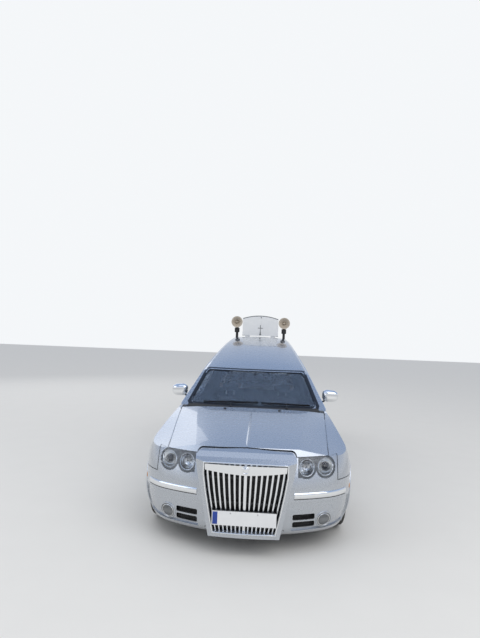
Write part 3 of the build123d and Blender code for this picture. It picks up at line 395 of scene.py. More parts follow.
paintSettings = {
    "dark": (0.485, 0.510, 0.545), "light": (0.510, 0.535, 0.570), "flakeScale": 2600.0, "metallic": 0.80,
    "roughLow": 0.25, "roughHigh": 0.29, "coat": 1.0, "peelScale": 220.0, "peelStrength": 0.005,
    "dust": 0.22, "dustTop": 0.50, "dustColour": (0.40, 0.38, 0.35),
}
rubberSettings = {"blocks": 64.0, "slant": 120.0, "dark": (0.014, 0.014, 0.014),
                  "light": (0.026, 0.026, 0.026)}
finishSettings = {
    polishedMetal: {
        # colour, roughness low and high, bump, dust, height where the dust ends
        "brightChrome": ((0.86, 0.87, 0.88), 0.04, 0.13, 0.02, 0.2, 0.5),
        "wheelAlloy": ((0.62, 0.63, 0.65), 0.22, 0.36, 0.05, 0.45, 0.75),
        "plainSteel": ((0.46, 0.46, 0.47), 0.30, 0.48, 0.1, 0.5, 0.6),
        "mirrorGlass": ((0.62, 0.66, 0.70), 0.01, 0.03, 0.0, 0.0, 0.0),
    },
    mouldedPlastic: {
        # dark, light, grain scale, roughness low and high, bump, dust, height where the dust ends
        "castIron": ((0.05, 0.05, 0.052), (0.11, 0.105, 0.10), 420.0, 0.6, 0.85, 0.5, 0.6, 0.9),
        "underPaint": ((0.02, 0.02, 0.021), (0.05, 0.05, 0.05), 350.0, 0.55, 0.8, 0.4, 0.5, 0.6),
        "blackPlastic": ((0.012, 0.012, 0.013), (0.03, 0.03, 0.031), 1100.0, 0.42, 0.6, 0.25, 0.3, 0.5),
        "glossBlack": ((0.006, 0.006, 0.008), (0.012, 0.012, 0.014), 2500.0, 0.06, 0.12, 0.01, 0.0, 0.0),
        "dashPlastic": ((0.022, 0.023, 0.026), (0.045, 0.046, 0.05), 900.0, 0.5, 0.68, 0.35, 0.0, 0.0),
        "lampInner": ((0.10, 0.105, 0.11), (0.16, 0.165, 0.17), 1500.0, 0.25, 0.35, 0.08, 0.1, 0.5),
        "darkLens": ((0.030, 0.032, 0.040), (0.060, 0.062, 0.075), 3000.0, 0.03, 0.06, 0.01, 0.0, 0.0),
        "fogGlass": ((0.13, 0.14, 0.15), (0.22, 0.23, 0.24), 600.0, 0.06, 0.12, 0.05, 0.1, 0.4),
        "signWhite": ((0.74, 0.76, 0.78), (0.84, 0.85, 0.86), 1600.0, 0.28, 0.4, 0.05, 0.0, 0.0),
        "signFrame": ((0.10, 0.11, 0.12), (0.17, 0.18, 0.19), 1300.0, 0.3, 0.45, 0.1, 0.0, 0.0),
        "hornBeige": ((0.42, 0.36, 0.29), (0.56, 0.50, 0.42), 1300.0, 0.35, 0.5, 0.1, 0.0, 0.0),
        "plateWhite": ((0.74, 0.75, 0.77), (0.82, 0.83, 0.84), 2500.0, 0.3, 0.42, 0.1, 0.15, 0.5),
        "plateBlue": ((0.01, 0.04, 0.26), (0.015, 0.06, 0.34), 2500.0, 0.3, 0.42, 0.1, 0.1, 0.5),
        "redLens": ((0.28, 0.006, 0.008), (0.42, 0.014, 0.014), 260.0, 0.08, 0.14, 0.1, 0.1, 0.7),
        "amberLens": ((0.62, 0.20, 0.01), (0.75, 0.28, 0.02), 260.0, 0.08, 0.14, 0.1, 0.1, 0.7),
        "lensWhite": ((0.62, 0.62, 0.62), (0.74, 0.74, 0.74), 300.0, 0.08, 0.14, 0.1, 0.1, 0.7),
    },
    tintedGlass: {
        # dark, light, highest roughness, transmission, alpha
        "cabinGlass": ((0.42, 0.52, 0.63), (0.45, 0.55, 0.66), 0.006, 0.95, 0.52),
        "lensClear": ((0.90, 0.93, 0.95), (0.96, 0.98, 1.0), 0.02, 1.0, 0.45),
    },
    # dark, light, threads, bump
    wovenCloth: {"seatCloth": ((0.035, 0.035, 0.040), (0.085, 0.085, 0.095), 2600.0, 0.5)},
    boardWood: {"deckWood": ((0.10, 0.045, 0.02), (0.30, 0.16, 0.075))},
}
finishes = {
    "silverPaint": metalPaint("silverPaint", paintSettings),
    "tyreRubberFront": tyreRubber("tyreRubberFront", "tyre_front_left", rubberSettings),
    "tyreRubberRear": tyreRubber("tyreRubberRear", "tyre_rear_left", rubberSettings),
}
for maker, table in finishSettings.items():
    for name, values in table.items():
        finishes[name] = maker(name, *values)

print("finishes on the carried-over parts")
nodeFinish = {
    "silverPaint": ["hood", "front_fenders", "front_bumper", "door_left", "door_right", "body_sides",
                    "rear_bumper",
                    "tailgate", "roof_panel", "grille_surround"],
    "brightChrome": ["grille_bars", "grille_top_bar", "bumper_strips", "roof_rails", "mirror_left",
                     "mirror_right"],
    "cabinGlass": ["door_glass_left", "door_glass_right", "side_windows", "windscreen", "tailgate_glass"],
    "lensClear": ["headlamp_lenses"],
    "lampInner": ["headlamp_housings", "fog_lamps"],
    "redLens": ["rear_lamps"],
    "underPaint": ["body_shell"],
    "blackPlastic": ["arch_liners", "fuel_tank", "plate_holder", "wipers"],
    "castIron": ["knuckle_left", "knuckle_right", "front_suspension", "rear_suspension", "engine_block"],
    "plainSteel": ["exhaust", "deck_rails"],
    "dashPlastic": ["dashboard", "steering_wheel", "partition"],
    "seatCloth": ["front_seats"],
    "deckWood": ["coffin_deck"],
    "signWhite": ["roof_sign"],
    "hornBeige": ["roof_horns"],
    "plateWhite": ["number_plate"],
    "wheelAlloy": ["rim_front_left", "rim_front_right", "rim_rear_left", "rim_rear_right"],
    "tyreRubberFront": ["tyre_front_left", "tyre_front_right"],
    "tyreRubberRear": ["tyre_rear_left", "tyre_rear_right"],
}
for finish, names in nodeFinish.items():
    for name in names:
        for materialSlot in cad[name].material_slots:
            materialSlot.material = finishes[finish]

print("tools for new pieces")


def joinPart(bm, part, place=None, finish=0):
    # Cleans one formed part, places it and adds it to the piece
    bmesh.ops.remove_doubles(part, verts=part.verts, dist=2e-5)
    bmesh.ops.recalc_face_normals(part, faces=part.faces)
    if place is not None:
        bmesh.ops.transform(part, matrix=place, verts=part.verts)
    for face in part.faces:
        face.material_index = finish
    addMesh(bm, part)


def addMesh(bm, part):
    scratch = bpy.data.meshes.new("scratch")
    part.to_mesh(scratch)
    part.free()
    bm.from_mesh(scratch)
    bpy.data.meshes.remove(scratch)


def finishPiece(name, bm, finishNames, body="vehicle_body", sharp=35):
    for face in bm.faces:
        face.smooth = True
    for edge in bm.edges:
        if len(edge.link_faces) == 2 and edge.calc_face_angle(0) > math.radians(sharp):
            edge.smooth = False
    mesh = bpy.data.meshes.new(name)
    bm.to_mesh(mesh)
    bm.free()
    for finishName in finishNames.split():
        mesh.materials.append(finishes[finishName])
    piece = makeObject(name, mesh)
    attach(piece, body)
    return piece


def roundEdges(part, offset, segments):
    bmesh.ops.bevel(part, geom=part.edges, offset=offset, affect="EDGES", segments=segments, profile=0.5,
                    material=-1,
                    clamp_overlap=True)


def addBlock(bm, low, high, rounding=0.0, steps=2, finish=0, place=None):
    part = bmesh.new()
    low, high = Vector(low), Vector(high)
    cube = Matrix.Translation((low + high) / 2) @ Matrix.Diagonal((*(high - low), 1))
    bmesh.ops.create_cube(part, size=1, matrix=cube)
    if rounding:
        roundEdges(part, rounding, steps)
    joinPart(bm, part, place, finish)


def addLathe(bm, profile, place, steps=32, finish=0):
    # The profile is radius and height; it turns about the local Z axis
    part = bmesh.new()
    points = [part.verts.new((radius, 0, height)) for radius, height in profile]
    edges = [part.edges.new(pair) for pair in zip(points, points[1:])]
    bmesh.ops.spin(part, geom=points + edges, cent=(0, 0, 0), axis=(0, 0, 1), angle=2 * math.pi, steps=steps,
                   use_merge=True)
    joinPart(bm, part, place, finish)


def addSweep(bm, stations, section, closed=False, finish=0, sizes=None):
    # Each station is a point, a side direction and an outward direction
    part = bmesh.new()
    loops = []
    for index, (point, side, out) in enumerate(stations):
        size = sizes[index] if sizes else 1.0
        ring = [part.verts.new(point + side * u * size + out * v * size) for u, v in section]
        loops.append([part.edges.new((ring[i], ring[(i + 1) % len(ring)])) for i in range(len(ring))])
    pairs = list(zip(loops, loops[1:]))
    if closed:
        pairs.append((loops[-1], loops[0]))
    for first, second in pairs:
        bmesh.ops.bridge_loops(part, edges=first + second)
    if not closed:
        for loop in (loops[0], loops[-1]):
            bmesh.ops.contextual_create(part, geom=loop)
    joinPart(bm, part, None, finish)


def shares(count):
    return [i / count for i in range(count + 1)]


def oval(across, up, count=8):
    turns = [2 * math.pi * i / count for i in range(count)]
    return [(across * math.cos(t), up * math.sin(t)) for t in turns]


def even(half):
    # A section from its left half; a point on the middle line stays single
    return half + [(-x, y) for x, y in reversed(half) if x]


def flatSection(width, height):
    # A strip that sits on a surface, with a crowned top
    half = width / 2
    return even([(-half, -0.002), (-half, height * 0.35), (-half * 0.7, height * 0.85), (0, height)])


def surfaceOf(*names):
    verts, faces = [], []
    for name in names:
        mesh = cad[name].data
        start = len(verts)
        verts += [v.co.copy() for v in mesh.vertices]
        faces += [[start + i for i in polygon.vertices] for polygon in mesh.polygons]
    return BVHTree.FromPolygons(verts, faces)


def landOn(tree, point, direction):
    spot, normal, _, _ = tree.ray_cast(Vector(point), Vector(direction))
    if spot is not None and normal.dot(Vector(direction)) > 0:
        normal = -normal
    return spot, normal


def seatOn(tree, point, direction):
    # A place on a surface, with local Z along its normal
    spot, normal = landOn(tree, point, direction)
    return Matrix.Translation(spot) @ normal.to_track_quat("Z", "Y").to_matrix().to_4x4()


def lineOn(tree, start, end, direction, count, side=(0, 0, 1), lift=0.0):
    # Drops a straight line on a surface
    stations = []
    for t in shares(count):
        spot, normal = landOn(tree, Vector(start).lerp(Vector(end), t), direction)
        if spot is not None:
            stations.append((spot + normal * lift, Vector(side), normal))
    return stations


def dense(points, gap):
    # Adds points along the runs of a closed outline
    result = []
    for first, second in zip(points, points[1:] + points[:1]):
        first, second = Vector(first), Vector(second)
        count = max(1, math.ceil((second - first).length / gap))
        result += [first.lerp(second, i / count) for i in range(count)]
    return result


def rounded(points, radius, steps=5):
    # Rounds the corners of a closed flat outline
    result = []
    points = [Vector(point) for point in points]
    for index, corner in enumerate(points):
        toBefore, toAfter = points[index - 1] - corner, points[(index + 1) % len(points)] - corner
        reach = min(radius, toBefore.length * 0.45, toAfter.length * 0.45)
        start = corner + toBefore.normalized() * reach
        end = corner + toAfter.normalized() * reach
        for t in shares(steps):
            result.append(start * (1 - t) ** 2 + corner * 2 * t * (1 - t) + end * t ** 2)
    return result


def stationsOn(tree, path, direction, lift=0.0, closed=True):
    # Drops a path on a surface; sides lie across the path
    spots = [landOn(tree, point, direction) for point in path]
    spots = [(spot, normal) for spot, normal in spots if spot is not None]
    stations = []
    count = len(spots)
    for index, (spot, normal) in enumerate(spots):
        before = spots[(index - 1) % count][0] if closed or index else spot
        after = spots[(index + 1) % count][0] if closed or index < count - 1 else spot
        side = (after - before).normalized().cross(normal).normalized()
        stations.append((spot + normal * lift, side, normal))
    return stations


def spun(axis, degrees):
    return Matrix.Rotation(math.radians(degrees), 4, axis)


def at(x, y, z, turn=None):
    place = Matrix.Translation((x, y, z))
    return place @ turn if turn is not None else place


# Local Z looks ahead along -Y, back along +Y, and out to each side
forward, backward = spun("X", 90), spun("X", -90)
leftward = spun("Y", 90)
outward = {1: leftward, -1: spun("Z", 180) @ leftward}
aheadY, behindY, besideX = -3.3, 3.6, 1.3  # rays start clear of the car

print("grille")
grilleSettings = {
    "sideBlades": 7, "barWidth": 0.0195, "middleExtra": 0.011, "barDepth": 0.028,
    "faceY": -2.990, "recess": 0.026, "bowRadius": 2.6,
    "opening": [(0.248, 0.205), (0.283, 0.360), (0.316, 0.520), (0.338, 0.660), (0.338, 0.745)],
    "carrierHeights": (0.230, 0.420, 0.620), "rimRadius": 0.0055, "rimOffset": 0.007, "middleHeight": 0.47,
}


def bowAt(x, s):
    return s["faceY"] + s["bowRadius"] - math.sqrt(s["bowRadius"] ** 2 - x * x)


def openingHalf(z, s):
    outline = s["opening"]
    for (x0, z0), (x1, z1) in zip(outline, outline[1:]):
        if z0 <= z <= z1:
            return x0 + (x1 - x0) * (z - z0) / (z1 - z0)
    return outline[-1][0] if z > outline[-1][1] else outline[0][0]


def makeGrilleBlades(s):
    # The blades fan out a little towards the top, as the sides of the opening do
    bm = bmesh.new()
    low, high = s["opening"][0][1], s["opening"][-1][1] - 0.002
    for number in range(-s["sideBlades"], s["sideBlades"] + 1):
        part = bmesh.new()
        rings = []
        for t in shares(14):
            z = low + (high - low) * t
            x = number / (s["sideBlades"] + 0.52) * openingHalf(z, s)
            half = s["barWidth"] / 2 * openingHalf(z, s) / openingHalf(high, s)
            half += s["middleExtra"] / 2 if number == 0 else 0
            front = bowAt(x, s) + s["recess"]
            section = even([(-half, s["barDepth"]), (-half, 0.009), (-half * 0.8, 0.0035),
                            (-half * 0.4, 0.0008), (0, 0)])
            rings.append([part.verts.new((x + across, front + back, z)) for across, back in section])
        for lower, upper in zip(rings, rings[1:]):
            for i in range(len(lower)):
                part.faces.new((lower[i - 1], lower[i], upper[i], upper[i - 1]))
        part.faces.new(rings[0][::-1])
        part.faces.new(rings[-1])
        joinPart(bm, part)
    back = s["faceY"] + s["recess"] + s["barDepth"]
    for height in s["carrierHeights"]:
        half = openingHalf(height, s) - 0.002
        addBlock(bm, (-half, back - 0.004, height), (half, back + 0.006, height + 0.012), 0.001, 1, 1)
    return finishPiece("grilleBlades", bm, "brightChrome blackPlastic")


def makeGrilleRim(s):
    bm = bmesh.new()
    outline = s["opening"] + [(-x, z) for x, z in reversed(s["opening"])]
    path = []
    for point in dense(outline, 0.035):
        rise = point.y - s["middleHeight"]
        x = point.x + (s["rimOffset"] if point.x > 0 else -s["rimOffset"])
        path.append((x, aheadY, point.y + (math.copysign(s["rimOffset"], rise) if abs(rise) > 0.25 else 0)))
    stations = stationsOn(surfaceOf("grille_surround"), path, (0, 1, 0), 0.0015)
    addSweep(bm, stations, oval(s["rimRadius"], s["rimRadius"]), True)
    finishPiece("grilleRim", bm, "brightChrome", sharp=60)


def makeRadiatorCore():
    bm = bmesh.new()
    addBlock(bm, (-0.33, -2.886, 0.20), (0.33, -2.866, 0.75), 0.002, 1)
    for row in range(36):
        z = 0.208 + row * 0.015
        addBlock(bm, (-0.325, -2.892, z), (0.325, -2.884, z + 0.004))
    for x in (-0.2, 0, 0.2):
        addBlock(bm, (x - 0.004, -2.894, 0.204), (x + 0.004, -2.884, 0.746), 0.001, 1)
    finishPiece("radiatorCore", bm, "blackPlastic")


def makeBlankBoss():
    # Plain round boss at the middle of the top bar
    bm = bmesh.new()
    profile = [(0, 0.0045), (0.008, 0.0043), (0.016, 0.0032), (0.0205, 0.001), (0.0215, 0.0), (0.023, 0.0028),
               (0.027, 0.0040), (0.031, 0.0028), (0.0325, 0.0), (0.0325, -0.006), (0, -0.006)]
    addLathe(bm, profile, at(0, -2.9905, 0.704, forward), 40)
    finishPiece("blankBoss", bm, "brightChrome", sharp=50)


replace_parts(makeGrilleBlades(grilleSettings), "grille_bars")
makeGrilleRim(grilleSettings)
makeRadiatorCore()
makeBlankBoss()

print("front plate")
plateSettings = {"halfWidth": 0.260, "halfHeight": 0.056, "border": 0.007, "frameDepth": 0.009,
                 "bandWidth": 0.040}


def addFrame(bm, halfWidth, halfHeight, border, depth, place, finish=0):
    part = bmesh.new()
    corners = ((-1, -1), (1, -1), (1, 1), (-1, 1))
    face = part.faces.new([part.verts.new((halfWidth * x, halfHeight * y, 0)) for x, y in corners])
    bmesh.ops.inset_region(part, faces=[face], thickness=border, use_even_offset=True)
    bmesh.ops.delete(part, geom=[face], context="FACES_ONLY")
    ring = bmesh.ops.extrude_face_region(part, geom=part.faces[:])
    verts = [v for v in ring["geom"] if isinstance(v, bmesh.types.BMVert)]
    bmesh.ops.translate(part, vec=(0, 0, depth), verts=verts)
    bmesh.ops.bevel(part, geom=part.edges, offset=0.0012, affect="EDGES", segments=2, profile=0.5,
                    material=-1)
    joinPart(bm, part, place, finish)


def makePlateTrim(place, s):
    # Holder frame, blank blue end band, raised edge and two screws
    bm = bmesh.new()
    wide, high = s["halfWidth"], s["halfHeight"]
    addFrame(bm, wide + 0.006, high + 0.006, s["border"], s["frameDepth"], place @ at(0, 0, -0.005))
    addFrame(bm, wide - 0.0035, high - 0.0035, 0.0025, 0.0022, place @ at(0, 0, -0.0008), 1)
    low = (-wide + 0.006, -high + 0.0065, -0.001)
    addBlock(bm, low, (low[0] + s["bandWidth"], high - 0.0065, 0.0006), 0.0005, 2, 2, place)
    screw = [(0, 0.0016), (0.0015, 0.0017), (0.0038, 0.0012), (0.0052, 0.0), (0.0052, -0.002), (0, -0.002)]
    for x in (-0.11, 0.11):
        addLathe(bm, screw, place @ at(x, high - 0.016, 0.0002), 20, 3)
    finishPiece("frontPlateTrim", bm, "blackPlastic plateWhite plateBlue plainSteel")


makePlateTrim(at(0, -2.9902, 0.318, forward), plateSettings)

print("lamps")
lampSettings = {
    "outerX": 0.667, "innerX": 0.503, "height": 0.707, "bowlRadius": 0.062, "floorInner": -2.755,
    "floorSlant": 0.46,
    "fogX": 0.661, "fogHeight": 0.274, "fogRadius": 0.060,
    "intake": (0.487, -2.795, 0.282), "intakeTurn": 21,
}


def ringAt(x, z, radius, count):
    # A circle ahead of the car, to be dropped on its front
    return [(x + u, aheadY, z + v) for u, v in oval(radius, radius, count)]


def makeHeadlampInsides(name, side, s):
    bm = bmesh.new()
    tree = surfaceOf("headlamp_housings")
    for x, radius, projector in ((s["outerX"], s["bowlRadius"], True),
                                 (s["innerX"], s["bowlRadius"] - 0.002, False)):
        floorY = s["floorInner"] + (x - s["innerX"]) * s["floorSlant"]
        place = at(side * x, floorY, s["height"], forward)
        stations = stationsOn(tree, ringAt(side * x, s["height"], radius + 0.0035, 36), (0, 1, 0))
        addSweep(bm, stations, oval(0.0032, 0.0032), True)
        wallTop = floorY - max(point.y for point, _, _ in stations) + 0.006
        if projector:
            bowl = [(radius - 0.001, wallTop), (radius - 0.0015, 0.030), (radius * 0.86, 0.014),
                    (radius * 0.62, 0.006),
                    (0.034, 0.004), (0.034, 0.030), (0.036, 0.034), (0.0385, 0.030), (0.0385, 0.003),
                    (0.030, 0.001),
                    (0, 0.001)]
            addLathe(bm, bowl, place, 36)
            glass = [(0, 0.052), (0.010, 0.0505), (0.020, 0.045), (0.027, 0.037), (0.0325, 0.028),
                     (0.0325, 0.020),
                     (0, 0.020)]
            addLathe(bm, glass, place, 32, 1)
        else:
            bowl = [(radius - 0.001, wallTop), (radius - 0.0012, 0.040), (radius * 0.88, 0.024),
                    (radius * 0.66, 0.012),
                    (radius * 0.40, 0.004), (0.014, 0.0015), (0, 0.0015)]
            addLathe(bm, bowl, place, 36)
            bulb = [(0, 0.040), (0.006, 0.0385), (0.0095, 0.034), (0.0105, 0.026), (0.010, 0.010),
                    (0.013, 0.006),
                    (0.013, 0.001), (0, 0.001)]
            addLathe(bm, bulb, place, 20, 2)
            for turn in (30, 150, 270):
                addBlock(bm, (0.012, -0.0018, 0.026), (0.050, 0.0018, 0.030), 0.0006, 1, 0,
                         place @ spun("Z", turn))
    finishPiece(name, bm, "brightChrome darkLens signFrame", sharp=45)


def makeFogInsides(name, side, s):
    bm = bmesh.new()
    puck = surfaceOf("fog_lamps")
    x, z, radius = side * s["fogX"], s["fogHeight"], s["fogRadius"]
    outer = stationsOn(surfaceOf("front_bumper"), ringAt(x, z, radius + 0.007, 40), (0, 1, 0))
    addSweep(bm, outer, flatSection(0.014, 0.006), True, 2)
    addSweep(bm, stationsOn(puck, ringAt(x, z, radius - 0.008, 40), (0, 1, 0)), oval(0.0035, 0.0035), True)
    place = seatOn(puck, (x, aheadY, z), (0, 1, 0))
    lens = [(0, 0.0085), (0.015, 0.0078), (0.030, 0.0056), (0.042, 0.0022), (0.045, 0.0), (0.045, -0.002),
            (0, -0.002)]
    addLathe(bm, lens, place, 36, 1)
    for step in range(-3, 4):
        u = step * 0.011
        reach = math.sqrt(0.043 ** 2 - u * u)
        height = 0.0082 * (1 - (u / 0.05) ** 2)
        addBlock(bm, (u - 0.0014, -reach, height - 0.004), (u + 0.0014, reach, height + 0.0008), 0.0006, 1,
                 1, place)
    finishPiece(name, bm, "brightChrome fogGlass silverPaint", sharp=45)


def makeIntakeBacking(name, side, s):
    bm = bmesh.new()
    x, y, z = s["intake"]
    place = at(side * x, y, z, spun("Z", side * s["intakeTurn"]))
    addBlock(bm, (-0.112, 0, -0.066), (0.112, 0.008, 0.066), 0.001, 1, 0, place)
    for row in range(9):
        v = -0.056 + row * 0.014
        addBlock(bm, (-0.108, -0.010, v - 0.0015), (0.108, 0.001, v + 0.0015), place=place)
    for column in range(13):
        u = -0.102 + column * 0.017
        addBlock(bm, (u - 0.0015, -0.010, -0.062), (u + 0.0015, 0.001, 0.062), place=place)
    finishPiece(name, bm, "blackPlastic")


for side, word in bothSides:
    makeHeadlampInsides("headlampInsides" + word, side, lampSettings)
    makeFogInsides("fogInsides" + word, side, lampSettings)
    makeIntakeBacking("intakeBacking" + word, side, lampSettings)

print("wheels")
wheelSettings = {
    "axles": (("front", -2.085), ("rear", 1.945)), "steps": 96, "blockLift": 0.0020, "treadFrom": 0.3558,
    "nutCircle": 0.057, "nutSize": 0.0095, "capRadius": 0.034,
    "treadProfile": [
        # radius, half width
        (0.2283, 0.0938), (0.2453, 0.0942), (0.2560, 0.0995), (0.2660, 0.1046), (0.2675, 0.1064),
        (0.2715, 0.1078),
        (0.2735, 0.1072), (0.2953, 0.1112), (0.3080, 0.1114), (0.3100, 0.1121), (0.3125, 0.1121),
        (0.3145, 0.1108),
        (0.3330, 0.1062), (0.3460, 0.1010), (0.3552, 0.0905), (0.3578, 0.0650), (0.3530, 0.0630),
        (0.3530, 0.0560),
        (0.3595, 0.0540), (0.3604, 0.0260), (0.3545, 0.0242), (0.3545, 0.0172), (0.3607, 0.0152),
        (0.3609, 0.0),
    ],
}


def middleOf(node):
    low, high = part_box(node)
    return (low + high) / 2


def makeTyre(name, node, body, s):
    bm = bmesh.new()
    half = s["treadProfile"]
    profile = [(r, -h) for r, h in half] + half[-2::-1] + [(half[0][0], -half[0][1])]
    addLathe(bm, profile, None, s["steps"])
    ribs = []
    for face in bm.faces:
        middle = face.calc_center_median()
        if math.hypot(middle.x, middle.y) > s["treadFrom"] and abs(face.normal.z) < 0.4:
            ribs.append(face)
    bmesh.ops.inset_individual(bm, faces=ribs, thickness=0.0016, depth=s["blockLift"], use_even_offset=True)
    bmesh.ops.transform(bm, matrix=at(*middleOf(node), leftward), verts=bm.verts)
    finishName = "tyreRubberFront" if "front" in node else "tyreRubberRear"
    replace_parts(finishPiece(name, bm, finishName, body, 40), node)


def makeWheelTrim(name, node, body, side, s):
    # Hub cap, wheel nuts, valve and the brake disc's worn faces
    bm = bmesh.new()
    place = at(*middleOf(node), outward[side])
    cap = [(0, 0.0885), (0.012, 0.0882), (0.024, 0.0868), (0.0285, 0.0845), (0.0295, 0.0835),
           (0.0305, 0.0855),
           (0.0325, 0.0862), (s["capRadius"], 0.0850), (s["capRadius"], 0.078), (0, 0.078)]
    addLathe(bm, cap, place, 40)
    seat = [(0.0115, -0.002), (0.0115, 0.0004), (0.0135, 0.0014), (0.0150, 0.0006), (0.0152, -0.002),
            (0.0115, -0.002)]
    nut = [(0, 0.0085), (0.0045, 0.0082), (0.0075, 0.0066), (s["nutSize"], 0.0045), (s["nutSize"], -0.002),
           (0, -0.002)]
    for number in range(5):
        spot = place @ spun("Z", 72 * number + 36) @ at(s["nutCircle"], 0, 0.0803)
        addLathe(bm, seat, spot, 24, 1)
        addLathe(bm, nut, spot, 6, 2)
    valve = [(0, 0.022), (0.0032, 0.0215), (0.0038, 0.012), (0.0030, 0.011), (0.0030, -0.004), (0, -0.004)]
    addLathe(bm, valve, place @ spun("Z", 20) @ at(0.203, 0, 0.070), 12, 3)
    disc = [(0.078, -0.0358), (0.1612, -0.0358), (0.1618, -0.0350), (0.1618, -0.0265), (0.1590, -0.0255),
            (0.1590, -0.0205), (0.1618, -0.0195), (0.1618, -0.0108), (0.1612, -0.0102), (0.078, -0.0102),
            (0.078, -0.0358)]
    addLathe(bm, disc, place, 72, 4)
    finishPiece(name, bm, "wheelAlloy blackPlastic plainSteel blackPlastic plainSteel", body)


def makeCaliper(name, side, y, body):
    bm = bmesh.new()
    x = side * 0.8035
    addBlock(bm, (x - 0.0095, y + 0.106, 0.3215), (x + 0.0095, y + 0.1845, 0.4055), 0.004, 3)
    bolt = [(0, 0.0026), (0.010, 0.0022), (0.0135, 0.0005), (0.0135, -0.002), (0, -0.002)]
    for z in (0.340, 0.387):
        addLathe(bm, bolt, at(side * 0.813, y + 0.146, z, outward[side]), 24, 1)
    finishPiece(name, bm, "castIron plainSteel", body)


for place, y in wheelSettings["axles"]:
    for side, word in bothSides:
        label, node = place.capitalize() + word, place + "_" + word.lower()
        makeTyre("tyre" + label, "tyre_" + node, "wheel_" + node, wheelSettings)
        makeWheelTrim("wheelTrim" + label, "rim_" + node, "wheel_" + node, side, wheelSettings)
        makeCaliper("caliperCover" + label, side, y, "knuckle_" + word.lower() if place == "front"
                    else "vehicle_body")

print("sign and horns")
signSettings = {
    "half": 0.320, "bottom": 1.790, "shoulder": 2.095, "top": 2.150, "front": 1.810, "back": 1.890,
    "cross": [
        # half width, bottom, top, how far it stands out, rounding
        (0.0045, 1.812, 1.985, 0.006, 0.0015), (0.047, 1.925, 1.934, 0.0055, 0.0015),
        (0.014, 1.803, 1.822, 0.007, 0.003), (0.009, 1.820, 1.856, 0.0065, 0.003),
    ],
    "hornSide": 0.427, "hornHeight": 2.030,
}


def archPath(s, count=28):
    # The top of the case is an arc through both shoulders
    rise = s["top"] - s["shoulder"]
    radius = (s["half"] ** 2 + rise ** 2) / (2 * rise)
    swing = math.asin(s["half"] / radius)
    turns = [-swing + 2 * swing * t for t in shares(count)]
    return [Vector((radius * math.sin(t), 0, s["top"] - radius + radius * math.cos(t)))
            for t in turns], radius


def makeSignDetails(s):
    bm = bmesh.new()
    path, radius = archPath(s)
    middle = (s["front"] + s["back"]) / 2
    deep = (s["back"] - s["front"]) / 2 + 0.003
    centre = Vector((0, 0, s["top"] - radius))
    stations = [(Vector((p.x, middle, p.z)), Vector((0, 1, 0)), (p - centre).normalized()) for p in path]
    strip = [(-deep, -0.008), (-deep, 0.003), (-deep + 0.003, 0.0055), (deep - 0.003, 0.0055), (deep, 0.003),
             (deep, -0.008), (deep - 0.0025, -0.008), (deep - 0.0025, -0.0005), (-deep + 0.0025, -0.0005),
             (-deep + 0.0025, -0.008)]
    addSweep(bm, stations, strip)
    knob = [(0, 0.009), (0.005, 0.0085), (0.009, 0.006), (0.0105, 0.002), (0.0105, -0.002), (0, -0.002)]
    outline = [(-s["half"] + 0.006, s["bottom"] + 0.006), (s["half"] - 0.006, s["bottom"] + 0.006)]
    points = dense(outline + [(p.x * 0.98, p.z - 0.008) for p in reversed(path)], 0.05)
    for faceY, out, look in ((s["front"], -1, forward), (s["back"], 1, backward)):
        loop = []
        for index, point in enumerate(points):
            along = points[(index + 1) % len(points)] - points[index - 1]
            across = Vector((-along.y, 0, along.x)).normalized()
            loop.append((Vector((point.x, faceY, point.y)), across, Vector((0, out, 0))))
        addSweep(bm, loop, flatSection(0.010, 0.0025), True, 2)
        for half, low, high, proud, rounding in s["cross"]:
            addBlock(bm, (-half, faceY - proud, low), (half, faceY + proud, high), rounding)
        addLathe(bm, knob, at(0.01, faceY, 2.118, look), 24)
    for x in (-0.30, 0.30):
        low = (x - 0.022, s["front"] - 0.002, s["bottom"] - 0.004)
        addBlock(bm, low, (x + 0.022, s["back"] + 0.002, s["bottom"] + 0.010), 0.002)
    finishPiece("signDetails", bm, "signFrame plainSteel signWhite")


def makeHornDetails(name, side, s):
    bm = bmesh.new()
    x, z = side * s["hornSide"], s["hornHeight"]
    unit = [(0, 0.004), (0.030, 0.004), (0.0375, -0.002), (0.0380, -0.050), (0.0365, -0.066),
            (0.0338, -0.068),
            (0.0338, 0.0005), (0, 0.0005)]
    addLathe(bm, unit, at(x, 1.960, z, backward), 32)
    throat = [(0, 0.050), (0.008, 0.048), (0.016, 0.036), (0.022, 0.018), (0.024, 0.0), (0, 0.0)]
    addLathe(bm, throat, at(x, 1.856, z, forward), 28, 1)
    lip = [(0.0985, 0.0), (0.1005, 0.0015), (0.1018, 0.0), (0.1005, -0.0025), (0.0985, -0.0015),
           (0.0985, 0.0)]
    addLathe(bm, lip, at(x, 1.8045, z, forward), 48, 1)
    addBlock(bm, (x - 0.0225, 1.9075, 1.70), (x + 0.0225, 1.9525, 2.006), 0.004)
    addBlock(bm, (x - 0.042, 1.868, 1.842), (x + 0.042, 1.958, 1.926), 0.008, 3)
    screw = [(0, 0.0022), (0.0035, 0.0018), (0.0045, 0.0), (0.0045, -0.002), (0, -0.002)]
    for shift in (-0.030, 0.030):
        addLathe(bm, screw, at(x + shift, 1.868, 1.915, forward), 16, 2)
    addBlock(bm, (-0.030, -0.012, 0), (0.030, 0.012, 0.004), 0.001, 1, 2, at(x, 1.930, 2.0))
    finishPiece(name, bm, "blackPlastic hornBeige plainSteel")


makeSignDetails(signSettings)
for side, word in bothSides:
    makeHornDetails("hornDetails" + word, side, signSettings)

print("door mirrors")
mirrorSettings = {"x": 0.924, "y": -0.940, "z": 1.093, "size": (0.190, 0.122, 0.152), "backCut": 0.043}


